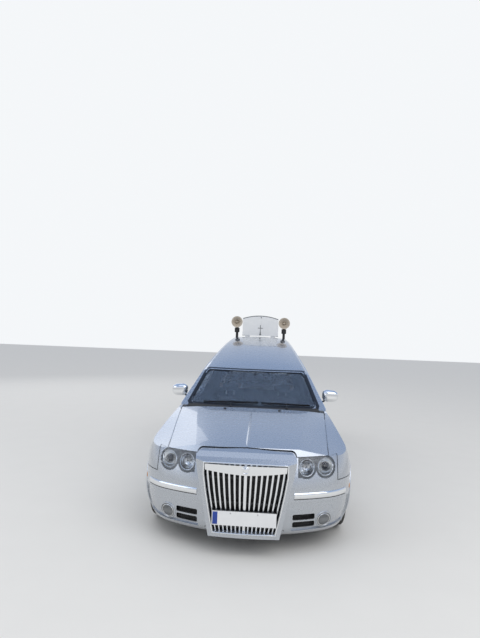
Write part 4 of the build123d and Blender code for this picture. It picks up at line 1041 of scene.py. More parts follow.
def makeMirror(name, node, body, side, s):
    bm = bmesh.new()
    part = bmesh.new()
    bmesh.ops.create_cube(part, size=1)
    roundEdges(part, 0.36, 8)
    wide, deep, high = s["size"]
    for vert in part.verts:
        x, y, z = vert.co
        swell = 1.0 - 0.16 * (x + 0.5)
        vert.co = Vector((x * wide, y * deep * swell, (z * swell - 0.02 * (x + 0.5)) * high))
    # The back is cut flat, and the glass sits a little inside its rim
    cut = bmesh.ops.bisect_plane(part, geom=part.verts[:] + part.edges[:] + part.faces[:],
                                 plane_co=(0, s["backCut"], 0),
                                 plane_no=(0, 1, 0), clear_outer=True)
    rim = [e for e in cut["geom_cut"] if isinstance(e, bmesh.types.BMEdge)]
    face = bmesh.ops.contextual_create(part, geom=rim)["faces"][0]
    bmesh.ops.inset_region(part, faces=[face], thickness=0.007, use_even_offset=True)
    glass = bmesh.ops.extrude_discrete_faces(part, faces=[face])["faces"][0]
    bmesh.ops.translate(part, vec=(0, -0.008, 0), verts=glass.verts)
    glass.material_index = 1
    bmesh.ops.remove_doubles(part, verts=part.verts, dist=1e-5)
    bmesh.ops.recalc_face_normals(part, faces=part.faces)
    for vert in part.verts:
        vert.co = Vector((side * (s["x"] + vert.co.x), s["y"] + vert.co.y, s["z"] + vert.co.z))
    if side < 0:
        bmesh.ops.reverse_faces(part, faces=part.faces)
    addMesh(bm, part)
    arm = []
    for t in (0.0, 0.35, 0.7, 1.0):
        point = Vector((side * (0.805 + 0.085 * t), s["y"] + 0.004, 0.992 + 0.050 * math.sin(t * 1.4)))
        arm.append((point, Vector((0, 1, 0)), Vector((-side * 0.35 * (1 - t), 0, 1)).normalized()))
    addSweep(bm, arm, oval(0.030, 0.010, 16), finish=2)
    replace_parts(finishPiece(name, bm, "brightChrome mirrorGlass blackPlastic", body, 40), node)


for side, word in bothSides:
    makeMirror("doorMirror" + word, "mirror_" + word.lower(), "door_" + word.lower(), side, mirrorSettings)

print("trim on the body")
trimSettings = {
    "doorWindow": [(-1.186, 1.015), (-0.686, 1.2828), (-0.37, 1.3531), (-0.136, 1.4062), (-0.136, 1.015)],
    "sideWindow": [(0.035, 1.015), (0.035, 1.4415), (0.36, 1.503), (0.91, 1.579), (1.46, 1.628),
                   (2.01, 1.645),
                   (2.45, 1.6397), (2.54, 1.015)],
    "gateWindow": [(0.330, 1.628), (0.350, 1.480), (0.565, 1.030), (-0.565, 1.030), (-0.350, 1.480),
                   (-0.330, 1.628)],
    "screen": [(-0.722, 1.004), (0.722, 1.004), (0.592, 1.352), (-0.592, 1.352)],
    "screenBand": [(-0.757, 0.999), (0.757, 0.999), (0.618, 1.373), (-0.618, 1.373)],
    "screenLow": 1.012, "screenMiddle": 1.18, "screenRear": -0.60, "bandPoints": 96,
    "doorBelt": (-1.20, -0.102), "sideBelt": (-0.068, 2.60), "beltHeight": 0.992,
    "handle": (-0.245, 0.862),
    "fuelFlap": [(2.30, 0.79), (2.45, 0.79), (2.45, 0.93), (2.30, 0.93)],
    "wipers": {
        # foot, tip and pivot, each as x and z
        "wiperRight": ((0.06, 1.028), (-0.56, 1.010), (-0.242, 0.998)),
        "wiperLeft": ((0.64, 1.010), (0.09, 1.026), (0.374, 0.996)),
    },
    "armSizes": [1.25, 1.2, 1.15, 1.1, 1.0, 0.9, 0.82, 0.75, 0.7, 0.66, 0.62],
}
cowlY, aboveZ = -2.2, 1.6  # rays for the windscreen and for the hood start here


def grown(points, offset):
    # Moves each corner away from the outline's middle
    middle = [sum(p[i] for p in points) / len(points) for i in (0, 1)]
    return [tuple(p[i] + math.copysign(offset, p[i] - middle[i]) for i in (0, 1)) for p in points]


def makeGasket(name, path, nodes, direction, section, body):
    bm = bmesh.new()
    addSweep(bm, stationsOn(surfaceOf(*nodes), path, direction), section, True)
    finishPiece(name, bm, "blackPlastic", body, 50)


def makeSideGasket(name, side, points, node, body):
    outline = dense(rounded(grown(points, 0.008), 0.042), 0.045)
    path = [(side * besideX, p.x, p.y) for p in outline]
    makeGasket(name, path, [node], (-side, 0, 0), flatSection(0.014, 0.0035), body)


def evenPoints(outline, count):
    # Points at equal steps round a closed outline
    closed = outline + outline[:1]
    lengths = [0.0]
    for first, second in zip(closed, closed[1:]):
        lengths.append(lengths[-1] + (second - first).length)
    points = []
    for step in range(count):
        target = lengths[-1] * step / count
        index = max(i for i, value in enumerate(lengths[:-1]) if value <= target + 1e-9)
        run = lengths[index + 1] - lengths[index]
        points.append(closed[index].lerp(closed[index + 1], (target - lengths[index]) / run if run else 0))
    return points


def makeScreenBand(s):
    # Black edge band of the windscreen, over the glass edge and the pillar
    bm = bmesh.new()
    tree = surfaceOf("windscreen", "body_sides", "roof_panel")
    count, middle = s["bandPoints"], s["screenMiddle"]
    inner = evenPoints(rounded(s["screen"], 0.045, 6), count)
    outer = evenPoints(rounded(s["screenBand"], 0.020, 6), count)
    for point in inner:
        rise = point.y - middle
        point.x -= math.copysign(0.014, point.x) if abs(point.x) > 0.45 else 0
        point.y -= math.copysign(0.014, rise) if abs(rise) > 0.13 else 0
    part = bmesh.new()
    loops = []
    for blend in (0.0, 0.35, 0.7, 1.0):
        ring = []
        for first, second in zip(inner, outer):
            point = first.lerp(second, blend)
            # Below the glass edge the band goes on down the slope of the glass, and a ray that
            # slips through a seam is sent again a little further in
            height = max(point.y, s["screenLow"])
            for inward in (1.0, 0.992, 0.984, 0.976, 0.968):
                aim = (point.x * inward, cowlY, middle + (height - middle) * inward)
                spot, normal = landOn(tree, aim, (0, 1, 0))
                if spot is not None and spot.y < s["screenRear"]:
                    break
            slope = Vector((1, 0, 0)).cross(normal).normalized()
            spot = spot + slope * (height - point.y) / max(0.3, abs(slope.z))
            ring.append(part.verts.new(spot + normal * (0.0022 if 0 < blend < 1 else 0.0004)))
        loops.append([part.edges.new((ring[i - 1], ring[i])) for i in range(count)])
    for first, second in zip(loops, loops[1:]):
        bmesh.ops.bridge_loops(part, edges=first + second)
    joinPart(bm, part)
    finishPiece("windscreenBand", bm, "glossBlack", sharp=60)


def makeBeltStrip(name, side, ends, node, body, s):
    bm = bmesh.new()
    start, end = ends
    path = [(side * besideX, start + (end - start) * t, s["beltHeight"])
            for t in shares(int((end - start) / 0.12))]
    addSweep(bm, stationsOn(surfaceOf(node), path, (-side, 0, 0), closed=False), flatSection(0.013, 0.0045))
    finishPiece(name, bm, "brightChrome", body, 50)


def makeDoorHandle(name, side, door, s):
    bm = bmesh.new()
    tree = surfaceOf(door)
    y, z = s["handle"]
    x, inward = side * besideX, (-side, 0, 0)
    dish = bmesh.new()
    face = dish.faces.new([dish.verts.new((u, v, 0.0009)) for u, v in oval(0.046, 0.026, 28)])
    bmesh.ops.inset_region(dish, faces=[face], thickness=0.004, use_even_offset=True)
    bmesh.ops.translate(dish, vec=(0, 0, 0.0008), verts=face.verts)
    joinPart(bm, dish, seatOn(tree, (x, y, z), inward), 1)
    bow = []
    for t in shares(12):
        spot, out = landOn(tree, (x, y + (t - 0.5) * 0.205, z + 0.004), inward)
        bow.append((spot + out * (0.034 * math.sin(math.pi * t) ** 0.35), Vector((0, 0, 1)), out))
    addSweep(bm, bow, oval(0.011, 0.006, 12))
    lock = [(0, 0.0022), (0.004, 0.0022), (0.005, 0.0030), (0.0095, 0.0030), (0.0110, 0.0012),
            (0.0110, -0.001),
            (0, -0.001)]
    place = seatOn(tree, (x, y + 0.135, z), inward)
    addLathe(bm, lock, place, 28)
    addBlock(bm, (-0.0008, -0.0035, 0.0018), (0.0008, 0.0035, 0.0031), finish=1, place=place)
    finishPiece(name, bm, "brightChrome blackPlastic", door, 45)


def makeFuelFlap(s):
    bm = bmesh.new()
    tree = surfaceOf("body_sides")
    path = [(-besideX, p.x, p.y) for p in dense(rounded(s["fuelFlap"], 0.03), 0.02)]
    addSweep(bm, stationsOn(tree, path, (1, 0, 0)), oval(0.0016, 0.0016, 6), True, 1)
    lock = [(0, 0.0012), (0.007, 0.0012), (0.008, 0.0004), (0.008, -0.001), (0, -0.001)]
    addLathe(bm, lock, seatOn(tree, (-besideX, 2.315, 0.86), (1, 0, 0)), 20)
    finishPiece("fuelFlapEdge", bm, "silverPaint blackPlastic", sharp=50)


def makeHoodRib():
    # Narrow raised rib along the middle of the hood, fading to the rear, and two washer nozzles
    bm = bmesh.new()
    tree = surfaceOf("hood")
    stations = lineOn(tree, (0, -2.828, aboveZ), (0, -1.78, aboveZ), (0, 0, -1), 26, (1, 0, 0))
    sizes = [max(0.02, min(1.0, (1 - t) * 1.9) * min(1.0, 0.25 + t * 14)) for t in shares(26)]
    section = even([(-0.020, -0.002), (-0.020, 0.0), (-0.011, 0.0009), (-0.0065, 0.0038), (-0.003, 0.0056),
                    (0, 0.0060)])
    addSweep(bm, stations, section, sizes=sizes)
    for side in (1, -1):
        place = seatOn(tree, (side * 0.29, -1.735, aboveZ), (0, 0, -1))
        addBlock(bm, (-0.013, -0.009, -0.002), (0.013, 0.011, 0.010), 0.004, 3, 1, place)
        for x in (-0.005, 0.005):
            jet = [(0, 0.0035), (0.0014, 0.0033), (0.0022, 0.0), (0, 0.0)]
            addLathe(bm, jet, place @ at(x, 0.009, 0.006, backward), 12, 2)
    finishPiece("hoodRib", bm, "silverPaint blackPlastic plainSteel", "hood", 50)


def makeWiper(name, foot, tip, pivot, armSizes):
    # Arm, spring cover, blade carrier and rubber on the glass
    bm = bmesh.new()
    tree = surfaceOf("windscreen", "body_shell", "body_sides")
    ends = [(x, cowlY, z + 0.012) for x, z in (foot, tip)]
    across = Vector((0, -0.4, 1)).normalized()
    blade, rubber = (lineOn(tree, *ends, (0, 1, 0), 24, across, lift) for lift in (0.013, 0.006))
    sizes = [0.55 + 0.45 * math.sin(math.pi * t) for t in shares(24)]
    addSweep(bm, blade, even([(-0.007, -0.002), (-0.006, 0.003), (0, 0.005)]), sizes=sizes)
    addSweep(bm, rubber, even([(-0.003, -0.0055), (-0.0045, 0.004)]), finish=1)
    root, _ = landOn(tree, (pivot[0], cowlY, pivot[1]), (0, 1, 0))
    arm = []
    for t in shares(10):
        rise = 0.016 * math.sin(math.pi * t)
        point = root.lerp(blade[12][0], t) + Vector((0, -0.002 - rise, 0.010 + rise))
        arm.append((point, Vector((0, -0.5, 0.86)), Vector((0, 0.86, 0.5))))
    addSweep(bm, arm, even([(-0.010, -0.004), (-0.009, 0.004)]), sizes=armSizes)
    cap = [(0, 0.012), (0.007, 0.0112), (0.012, 0.008), (0.0145, 0.002), (0.0150, -0.012), (0, -0.012)]
    addLathe(bm, cap, at(root.x, root.y + 0.002, root.z + 0.008, spun("X", 25)), 28)
    return finishPiece(name, bm, "blackPlastic tyreRubberFront", sharp=40)


for side, word in bothSides:
    door = "door_" + word.lower()
    makeSideGasket("doorGasket" + word, side, trimSettings["doorWindow"], door, door)
    makeSideGasket("sideGasket" + word, side, trimSettings["sideWindow"], "body_sides", "vehicle_body")
    makeBeltStrip("doorBelt" + word, side, trimSettings["doorBelt"], door, door, trimSettings)
    makeBeltStrip("sideBelt" + word, side, trimSettings["sideBelt"], "body_sides", "vehicle_body",
                  trimSettings)
    makeDoorHandle("doorHandle" + word, side, door, trimSettings)
makeScreenBand(trimSettings)
gatePath = [(p.x, behindY, p.y) for p in dense(rounded(trimSettings["gateWindow"], 0.036), 0.045)]
makeGasket("gateGasket", gatePath, ["tailgate", "tailgate_glass"], (0, -1, 0), flatSection(0.016, 0.004),
           "tailgate")
makeFuelFlap(trimSettings)
makeHoodRib()
wipers = {name: makeWiper(name, *spots, trimSettings["armSizes"])
          for name, spots in trimSettings["wipers"].items()}
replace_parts(wipers["wiperRight"], "wipers")

print("seats")
seatSettings = {
    "voxel": 0.0065, "quickVoxel": 0.0156, "pressure": 4.0, "frames": 20, "cap": 0.024,
    "side": 0.370, "tilt": -17.0, "pivot": (0.0, -0.2247, 0.4305),
    "seamDepth": 0.0075, "seamWidth": 0.0055,
    "cushion": {"size": (0.455, 0.480, 0.108), "limit": (0.250, 0.260, 0.0745),
                "place": (0.0, -0.46, 0.405), "fill": 0.7},
    "backrest": {"size": (0.445, 0.080, 0.505), "limit": (0.245, 0.0575, 0.276),
                 "place": (0.0, 0.060, 0.288), "fill": 0.7},
    "headrest": {"size": (0.225, 0.060, 0.105), "limit": (0.130, 0.0475, 0.070),
                 "place": (0.0, 0.060, 0.660), "fill": 0.8},
}


def evaluatedCopy(item):
    graph = bpy.context.evaluated_depsgraph_get()
    graph.update()
    return bpy.data.meshes.new_from_object(item.evaluated_get(graph))


def startPad(s, part):
    bm = bmesh.new()
    bmesh.ops.create_cube(bm, size=1.0)
    bmesh.ops.scale(bm, vec=part["size"], verts=bm.verts)
    roundEdges(bm, min(part["size"]) * 0.36, 4)
    mesh = bpy.data.meshes.new("padStart")
    bm.to_mesh(mesh)
    bm.free()
    pad = makeObject("padStart", mesh)
    remesh = pad.modifiers.new("even", "REMESH")
    remesh.mode = "VOXEL"
    remesh.voxel_size = s["voxel"]
    pad.data = evaluatedCopy(pad)
    pad.modifiers.clear()
    return pad


def bolster(point, kind, part):
    # Raised bolsters at the sides of the face that is sat on
    x, y, z = point
    across = 2 * abs(x) / part["size"][0]
    rise = 0.022 * math.sin(min(1.0, max(0.0, (across - 0.62) / 0.38)) * math.pi * 0.62)
    if kind == "cushion" and z > 0:
        front = max(0.0, (-2 * y / part["size"][1] - 0.7) / 0.3)
        return Vector((x, y, z - 0.012 + rise - 0.018 * front * front))
    if kind == "backrest":
        taper = 1.0 - 0.10 * max(0.0, z) / 0.25
        return Vector((x * taper, y + 0.010 - rise if y < 0 else y, z))
    return Vector(point)


def seamDistance(point, kind):
    x, y, z = point
    if kind == "headrest":
        return abs(abs(x) - 0.085)
    if kind == "cushion" and z > 0:
        lines = [abs(x) - 0.158]
        if abs(x) < 0.160:
            lines += [y + 0.155, y + 0.055, y - 0.045, y - 0.145]
    elif kind == "backrest" and y < 0:
        lines = [abs(x) - (0.150 - 0.05 * max(0.0, z))]
        if abs(x) < 0.152:
            lines += [z - 0.195, z - 0.095, z + 0.005, z + 0.105, z + 0.205]
    else:
        return 1.0
    return min(abs(line) for line in lines)


def swell(pad, s):
    # Blows the pad up with the cloth solver and gives the points back
    cloth = pad.modifiers.new("swell", "CLOTH")
    cloth.settings.quality = 4
    cloth.settings.use_pressure = True
    cloth.settings.uniform_pressure_force = s["pressure"]
    cloth.settings.effector_weights.gravity = 0
    cloth.settings.bending_stiffness = 1.5
    cloth.collision_settings.use_collision = False
    cloth.point_cache.frame_start = 1
    cloth.point_cache.frame_end = s["frames"]
    for step in range(1, s["frames"] + 1):
        bpy.context.scene.frame_set(step)
    swollen = evaluatedCopy(pad)
    pad.modifiers.clear()
    points = [vertex.co.copy() for vertex in swollen.vertices]
    bpy.data.meshes.remove(swollen)
    bpy.context.scene.frame_set(1)
    return points


def makePad(kind, s):
    part = s[kind]
    pad = startPad(s, part)
    for vertex in pad.data.vertices:
        vertex.co = bolster(vertex.co, kind, part)
    before = [vertex.co.copy() for vertex in pad.data.vertices]
    after = swell(pad, s)
    # No point moves further than the cap or leaves the room of the solid
    limit = part["limit"]
    for vertex, old, new in zip(pad.data.vertices, before, after):
        move = new - old
        if move.length > s["cap"]:
            move *= s["cap"] / move.length
        vertex.co = Vector([max(-limit[i], min(limit[i], (old + move)[i])) for i in range(3)])
    smooth = pad.modifiers.new("finer", "SUBSURF")
    smooth.levels = smooth.render_levels = 1
    finer = evaluatedCopy(pad)
    bpy.data.objects.remove(pad)
    normals = [vertex.normal.copy() for vertex in finer.vertices]
    for vertex, normal in zip(finer.vertices, normals):
        near = seamDistance(vertex.co, kind)
        if near < s["seamWidth"] * 3:
            vertex.co -= normal * s["seamDepth"] * math.exp(-(near / s["seamWidth"]) ** 2)
    return finer


def placePad(name, mesh, transform):
    copy = mesh.copy()
    copy.name = name
    copy.transform(transform)
    for polygon in copy.polygons:
        polygon.use_smooth = True
    copy.materials.clear()
    copy.materials.append(finishes["seatCloth"])
    piece = makeObject(name, copy)
    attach(piece, "vehicle_body")
    return piece


lean = at(*seatSettings["pivot"], spun("X", seatSettings["tilt"]))
seatPads = []
for kind in ("cushion", "backrest", "headrest"):
    padMesh, part = makePad(kind, seatSettings), seatSettings[kind]
    for side, word in bothSides:
        shift = at(side * seatSettings["side"], 0, 0)
        inner = shift if kind == "cushion" else shift @ lean
        seatPads.append(placePad("seat" + kind.capitalize() + word, padMesh, inner @ at(*part["place"])))
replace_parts(seatPads[0], "front_seats")


def makeSeatHardware(name, side, s):
    # Posts of the headrest and rails under the cushion
    bm = bmesh.new()
    shift = at(side * s["side"], 0, 0)
    post = [(0.0, 0.062), (0.0055, 0.060), (0.006, 0.055), (0.006, 0.0), (0.012, -0.001), (0.013, -0.008),
            (0.0, -0.008)]
    for across in (-0.055, 0.055):
        addLathe(bm, post, shift @ lean @ at(across, 0.060, 0.560), 18)
    for across in (-0.262, 0.262):
        low = (across - 0.008, -0.105, 0.0)
        addBlock(bm, low, (across + 0.008, 0.245, 0.062), 0.006, 3, 1, shift @ at(0, -0.46, 0.335))
    finishPiece(name, bm, "plainSteel dashPlastic")


for side, word in bothSides:
    makeSeatHardware("seatHardware" + word, side, seatSettings)

print("dashboard and deck")
dashSettings = {
    "wheelSide": 0.370, "dialRadius": 0.052, "dialHeight": 0.972, "ventSides": (-0.62, -0.115, 0.115, 0.655),
    "deckTop": 0.830,
}
cabinY = -0.6  # rays for the dashboard start here


def makeDashTop(s):
    # Cowl over the instruments, with two dials and a clock
    bm = bmesh.new()
    cowl = bmesh.new()
    count = 18
    rows = []
    for y, inset in ((-1.060, 0.030), (-1.000, 0.006), (-0.905, 0.0)):
        wide, high = 0.165 - inset, 0.058 - inset * 0.9
        pair = []
        for w, h in ((wide, high), (wide - 0.010, max(0.001, high - 0.010))):
            arc = [(w * math.cos(math.pi * t), h * math.sin(math.pi * t) ** 0.8) for t in shares(count)]
            pair.append([cowl.verts.new((s["wheelSide"] + u, y, s["dialHeight"] + v)) for u, v in arc])
        rows.append(pair)

    def skin(first, second):
        for i in range(count):
            cowl.faces.new((first[i], first[i + 1], second[i + 1], second[i]))

    for (outerA, innerA), (outerB, innerB) in zip(rows, rows[1:]):
        skin(outerA, outerB)
        skin(innerB, innerA)
        for end in (0, count):
            cowl.faces.new((outerA[end], outerB[end], innerB[end], innerA[end]))
    for outer, inner in (rows[0], rows[-1]):
        skin(outer, inner)
    joinPart(bm, cowl)
    for across in (-0.085, 0.0, 0.085):
        radius = s["dialRadius"] * (1 if across else 0.8)
        inner = radius - 0.006
        place = at(s["wheelSide"] + across * 1.05, -0.957, s["dialHeight"], backward)
        place = place @ spun("X", -15) @ at(0, 0.012, 0)
        addLathe(bm, [(inner, 0.004), (radius - 0.002, 0.009), (radius, 0.008), (radius + 0.002, 0.0),
                      (inner, 0.0),
                      (inner, 0.004)], place, 40, 1)
        addLathe(bm, [(0, 0.002), (inner, 0.002), (inner, -0.002), (0, -0.002)], place, 40)
        addBlock(bm, (-0.001, -0.004, 0.003), (0.001, radius * 0.72, 0.0045), finish=2,
                 place=place @ spun("Z", 38))
        addLathe(bm, [(0, 0.007), (0.005, 0.006), (0.006, 0.002), (0, 0.002)], place, 16, 1)
    finishPiece("instruments", bm, "dashPlastic brightChrome amberLens", sharp=40)


def makeDashFace(s):
    # Air vents, a radio panel with its knobs, and the edges of the glove box
    bm = bmesh.new()
    tree = surfaceOf("dashboard")
    for x in s["ventSides"]:
        place = seatOn(tree, (x, cabinY, 0.880), (0, -1, 0))
        addBlock(bm, (-0.062, -0.034, -0.002), (0.062, 0.034, 0.004), 0.003, 2, 1, place)
        for row in range(5):
            slat = place @ at(0, -0.024 + row * 0.012, 0.006, spun("X", 28))
            addBlock(bm, (-0.056, -0.0006, -0.004), (0.056, 0.0008, 0.005), place=slat)
        addBlock(bm, (-0.003, -0.006, 0.004), (0.003, 0.006, 0.014), 0.001, 2, 1, place)
    place = seatOn(tree, (0, cabinY, 0.815), (0, -1, 0))
    addBlock(bm, (-0.105, -0.042, -0.002), (0.105, 0.034, 0.005), 0.004, 3, 2, place)
    addBlock(bm, (-0.088, -0.020, 0.004), (0.088, 0.026, 0.0065), 0.002, 2, 1, place)
    knob = [(0, 0.013), (0.007, 0.0125), (0.009, 0.010), (0.010, 0.004), (0, 0.004)]
    for across in (-0.085, -0.051, -0.017, 0.017, 0.051, 0.085):
        addLathe(bm, knob, place @ at(across, -0.032, 0), 20)
    for z in (0.838, 0.735):
        line = lineOn(tree, (-0.66, cabinY, z), (-0.22, cabinY, z), (0, -1, 0), 8)
        addSweep(bm, line, flatSection(0.004, 0.0015), finish=1)
    finishPiece("dashFace", bm, "dashPlastic blackPlastic plainSteel")


def makeCabinFloor():
    # Console with gear lever, handbrake and pedals
    bm = bmesh.new()
    addBlock(bm, (-0.105, -0.93, 0.40), (0.105, -0.08, 0.555), 0.022, 4)
    addBlock(bm, (-0.060, -0.80, 0.553), (0.060, -0.50, 0.562), 0.004, 2, 1)
    lever = at(0, -0.68, 0.560, spun("X", 8))
    boot = [(0, 0.060), (0.010, 0.058), (0.018, 0.040), (0.026, 0.026), (0.034, 0.012), (0.048, 0.0),
            (0, 0.0)]
    addLathe(bm, boot, lever, 28, 1)
    addLathe(bm, [(0, 0.100), (0.006, 0.100), (0.006, 0.055), (0, 0.055)], lever, 16, 2)
    knob = [(0, 0.140), (0.012, 0.138), (0.021, 0.130), (0.024, 0.118), (0.021, 0.104), (0.011, 0.094),
            (0, 0.092)]
    addLathe(bm, knob, lever, 28, 1)
    addBlock(bm, (-0.014, -0.30, 0.566), (0.014, -0.13, 0.590), 0.010, 4, 1, spun("X", -3))
    for x, wide in ((0.455, 0.030), (0.375, 0.036), (0.290, 0.024)):
        place = at(x, -1.16, 0.43, spun("X", -38))
        addBlock(bm, (-wide, -0.008, -0.030), (wide, 0.006, 0.034), 0.004, 3, 1, place)
        for rib in range(4):
            z = -0.022 + rib * 0.014
            addBlock(bm, (-wide + 0.006, 0.005, z), (wide - 0.006, 0.0085, z + 0.005), finish=1, place=place)
        addBlock(bm, (-0.006, -0.014, 0.0), (0.006, -0.006, 0.17), 0.002, 2, 2, place)
    finishPiece("cabinConsole", bm, "dashPlastic blackPlastic plainSteel", sharp=40)


def makeWheelPad(s):
    # Pad, two spoke covers and a plain ring on the steering wheel
    bm = bmesh.new()
    place = at(s["wheelSide"], -0.700, 0.870, spun("X", -66))
    pad = [(0, 0.026), (0.030, 0.025), (0.052, 0.020), (0.062, 0.010), (0.064, -0.004), (0, -0.004)]
    addLathe(bm, pad, place @ Matrix.Diagonal((1.15, 0.95, 1.0, 1)), 40)
    addLathe(bm, [(0.016, 0.0262), (0.019, 0.0272), (0.021, 0.0256), (0.016, 0.0245), (0.016, 0.0262)],
             place, 40, 1)
    for turn in (0, 180):
        spoke = place @ spun("Z", turn)
        addBlock(bm, (0.055, -0.019, -0.004), (0.150, 0.015, 0.010), 0.005, 3, 1, spoke)
        for button in range(3):
            x = 0.074 + button * 0.020
            addBlock(bm, (x, -0.010, 0.008), (x + 0.014, 0.007, 0.0135), 0.002, 2, 0, spoke)
    finishPiece("steeringPad", bm, "dashPlastic plainSteel", "steering_wheel", 40)


def makeCabinMirror():
    bm = bmesh.new()
    spot, _ = landOn(surfaceOf("windscreen"), (0, -0.2, 1.315), (0, -1, 0))
    hang = spot + Vector((0, 0.085, -0.055))
    foot = at(spot.x, spot.y + 0.004, spot.z, spun("X", -60))
    addLathe(bm, [(0, 0.006), (0.016, 0.005), (0.018, 0.0), (0, 0.0)], foot, 24)
    run = hang - spot
    stem = at(*spot, run.to_track_quat("Z", "Y").to_matrix().to_4x4())
    addLathe(bm, [(0, run.length), (0.006, run.length), (0.008, 0.0), (0, 0.0)], stem, 16)
    shell = at(*hang, spun("X", -8))
    addBlock(bm, (-0.118, -0.018, -0.034), (0.118, 0.012, 0.034), 0.014, 4, 0, shell)
    addBlock(bm, (-0.108, 0.010, -0.027), (0.108, 0.0135, 0.027), 0.003, 2, 1, shell)
    finishPiece("cabinMirror", bm, "dashPlastic mirrorGlass")


def makeDeckFittings(s):
    # Bier pins in their plates, and an edge strip at the loading end
    bm = bmesh.new()
    top = s["deckTop"]
    pin = [(0, 0.060), (0.007, 0.059), (0.010, 0.054), (0.011, 0.010), (0.018, 0.004), (0, 0.004)]
    screw = [(0, 0.0068), (0.004, 0.0064), (0.005, 0.004), (0, 0.004)]
    for x in (-0.245, 0.245):
        for y in (0.55, 2.30):
            addBlock(bm, (-0.024, -0.040, 0.0), (0.024, 0.040, 0.004), 0.003, 2, 0, at(x, y, top))
            addLathe(bm, pin, at(x, y, top), 24, 1)
            for across in (-0.028, 0.028):
                addLathe(bm, screw, at(x, y + across, top), 14)
    addBlock(bm, (-0.52, 2.672, top - 0.0005), (0.52, 2.706, top + 0.0045), 0.002)
    finishPiece("deckFittings", bm, "brightChrome blackPlastic")


makeDashTop(dashSettings)
makeDashFace(dashSettings)
makeCabinFloor()
makeWheelPad(dashSettings)
makeCabinMirror()
makeDeckFittings(dashSettings)

print("strips, lamps and plate round the ends")
endSettings = {
    # Each room is the least distance from the middle and the lowest and highest y
    "stripHeight": 0.498, "stripRoom": (0.384, -4, -2.642), "markerRoom": (0, -2.560, -2.490),
    "lampRoom": (0.742, 2.785, 4), "rearStripHeight": 0.520, "rearStripRoom": (0.30, 2.60, 4),
    "lampBands": [
        # height, width, how far it stands out, finish
        (0.700, 0.040, 0.0030, 1), (0.822, 0.034, 0.0030, 2), (0.7225, 0.004, 0.0040, 0),
        (0.6775, 0.004, 0.0040, 0),
        (0.8410, 0.004, 0.0040, 0), (0.8030, 0.004, 0.0040, 0),
    ],
    "plateHeight": 0.700, "lockHeight": 0.930, "highLampHeight": 1.662, "wiperHeight": 1.000,
    "outletTip": (-0.300, 2.942, 0.250),
}


def roundCorner(nodes, side, z, room, count):
    # Points and normals round a corner of the body at one height
    tree = surfaceOf(*nodes)
    inner, low, high = room
    front = 1 if high < 0 else -1
    aim = Vector((-side * 0.62, front * 0.78, 0)).normalized()
    across = Vector((aim.y, -aim.x, 0))
    stations = []
    for t in shares(count):
        start = Vector((side * 0.72, -front * 2.80, z)) + across * ((t * 2 - 1) * 0.75) - aim * 1.5
        spot, normal = landOn(tree, start, aim)
        if spot is not None and side * spot.x > inner and low < spot.y < high:
            stations.append((spot, Vector((0, 0, 1)), normal))
    return stations


def makeBumperTrim(name, side, s):
    bm = bmesh.new()
    nodes = ["front_bumper", "front_fenders"]
    section = [(-0.0235, -0.002), (-0.0235, 0.003), (-0.019, 0.0072), (-0.009, 0.0102), (0.001, 0.0112),
               (0.011, 0.0100),
               (0.019, 0.0070), (0.0235, 0.003), (0.0235, -0.002)]
    addSweep(bm, roundCorner(nodes, side, s["stripHeight"], s["stripRoom"], 56), section)
    # A thin black line just below the chrome strip, on the paint: painted shadow under the strip
    lower = roundCorner(nodes, side, s["stripHeight"] - 0.0285, s["stripRoom"], 56)
    addSweep(bm, lower, flatSection(0.006, 0.0012), finish=1)
    return finishPiece(name, bm, "brightChrome blackPlastic", sharp=40)


def makeSideMarker(name, side, s):
    bm = bmesh.new()
    stations = roundCorner(["front_bumper", "front_fenders"], side, s["stripHeight"], s["markerRoom"], 120)
    addSweep(bm, stations, even([(-0.016, -0.002), (-0.015, 0.003), (0, 0.0045)]))
    finishPiece(name, bm, "amberLens", sharp=40)


def makeRearLamp(name, side, s):
    # Bands of clear and amber lens with thin bright dividers over the red lens
    bm = bmesh.new()
    for height, wide, proud, finish in s["lampBands"]:
        addSweep(bm, roundCorner(["rear_lamps"], side, height, s["lampRoom"], 70),
                 flatSection(wide, proud), finish=finish)
    finishPiece(name, bm, "brightChrome lensWhite amberLens", sharp=45)


def makeRearBumperTrim(s):
    bm = bmesh.new()
    tree = surfaceOf("rear_bumper")
    strip = even([(-0.016, -0.002), (-0.016, 0.002), (-0.010, 0.006), (0, 0.0075)])
    for side in (1, -1):
        addSweep(bm, roundCorner(["rear_bumper"], side, s["rearStripHeight"], s["rearStripRoom"], 70), strip)
    for side in (1, -1):
        reflector = lineOn(tree, (side * 0.60, behindY, 0.355), (side * 0.74, behindY, 0.355), (0, -1, 0), 8)
        addSweep(bm, reflector, flatSection(0.034, 0.004), finish=1)
    finishPiece("rearBumperTrim", bm, "brightChrome redLens", sharp=40)


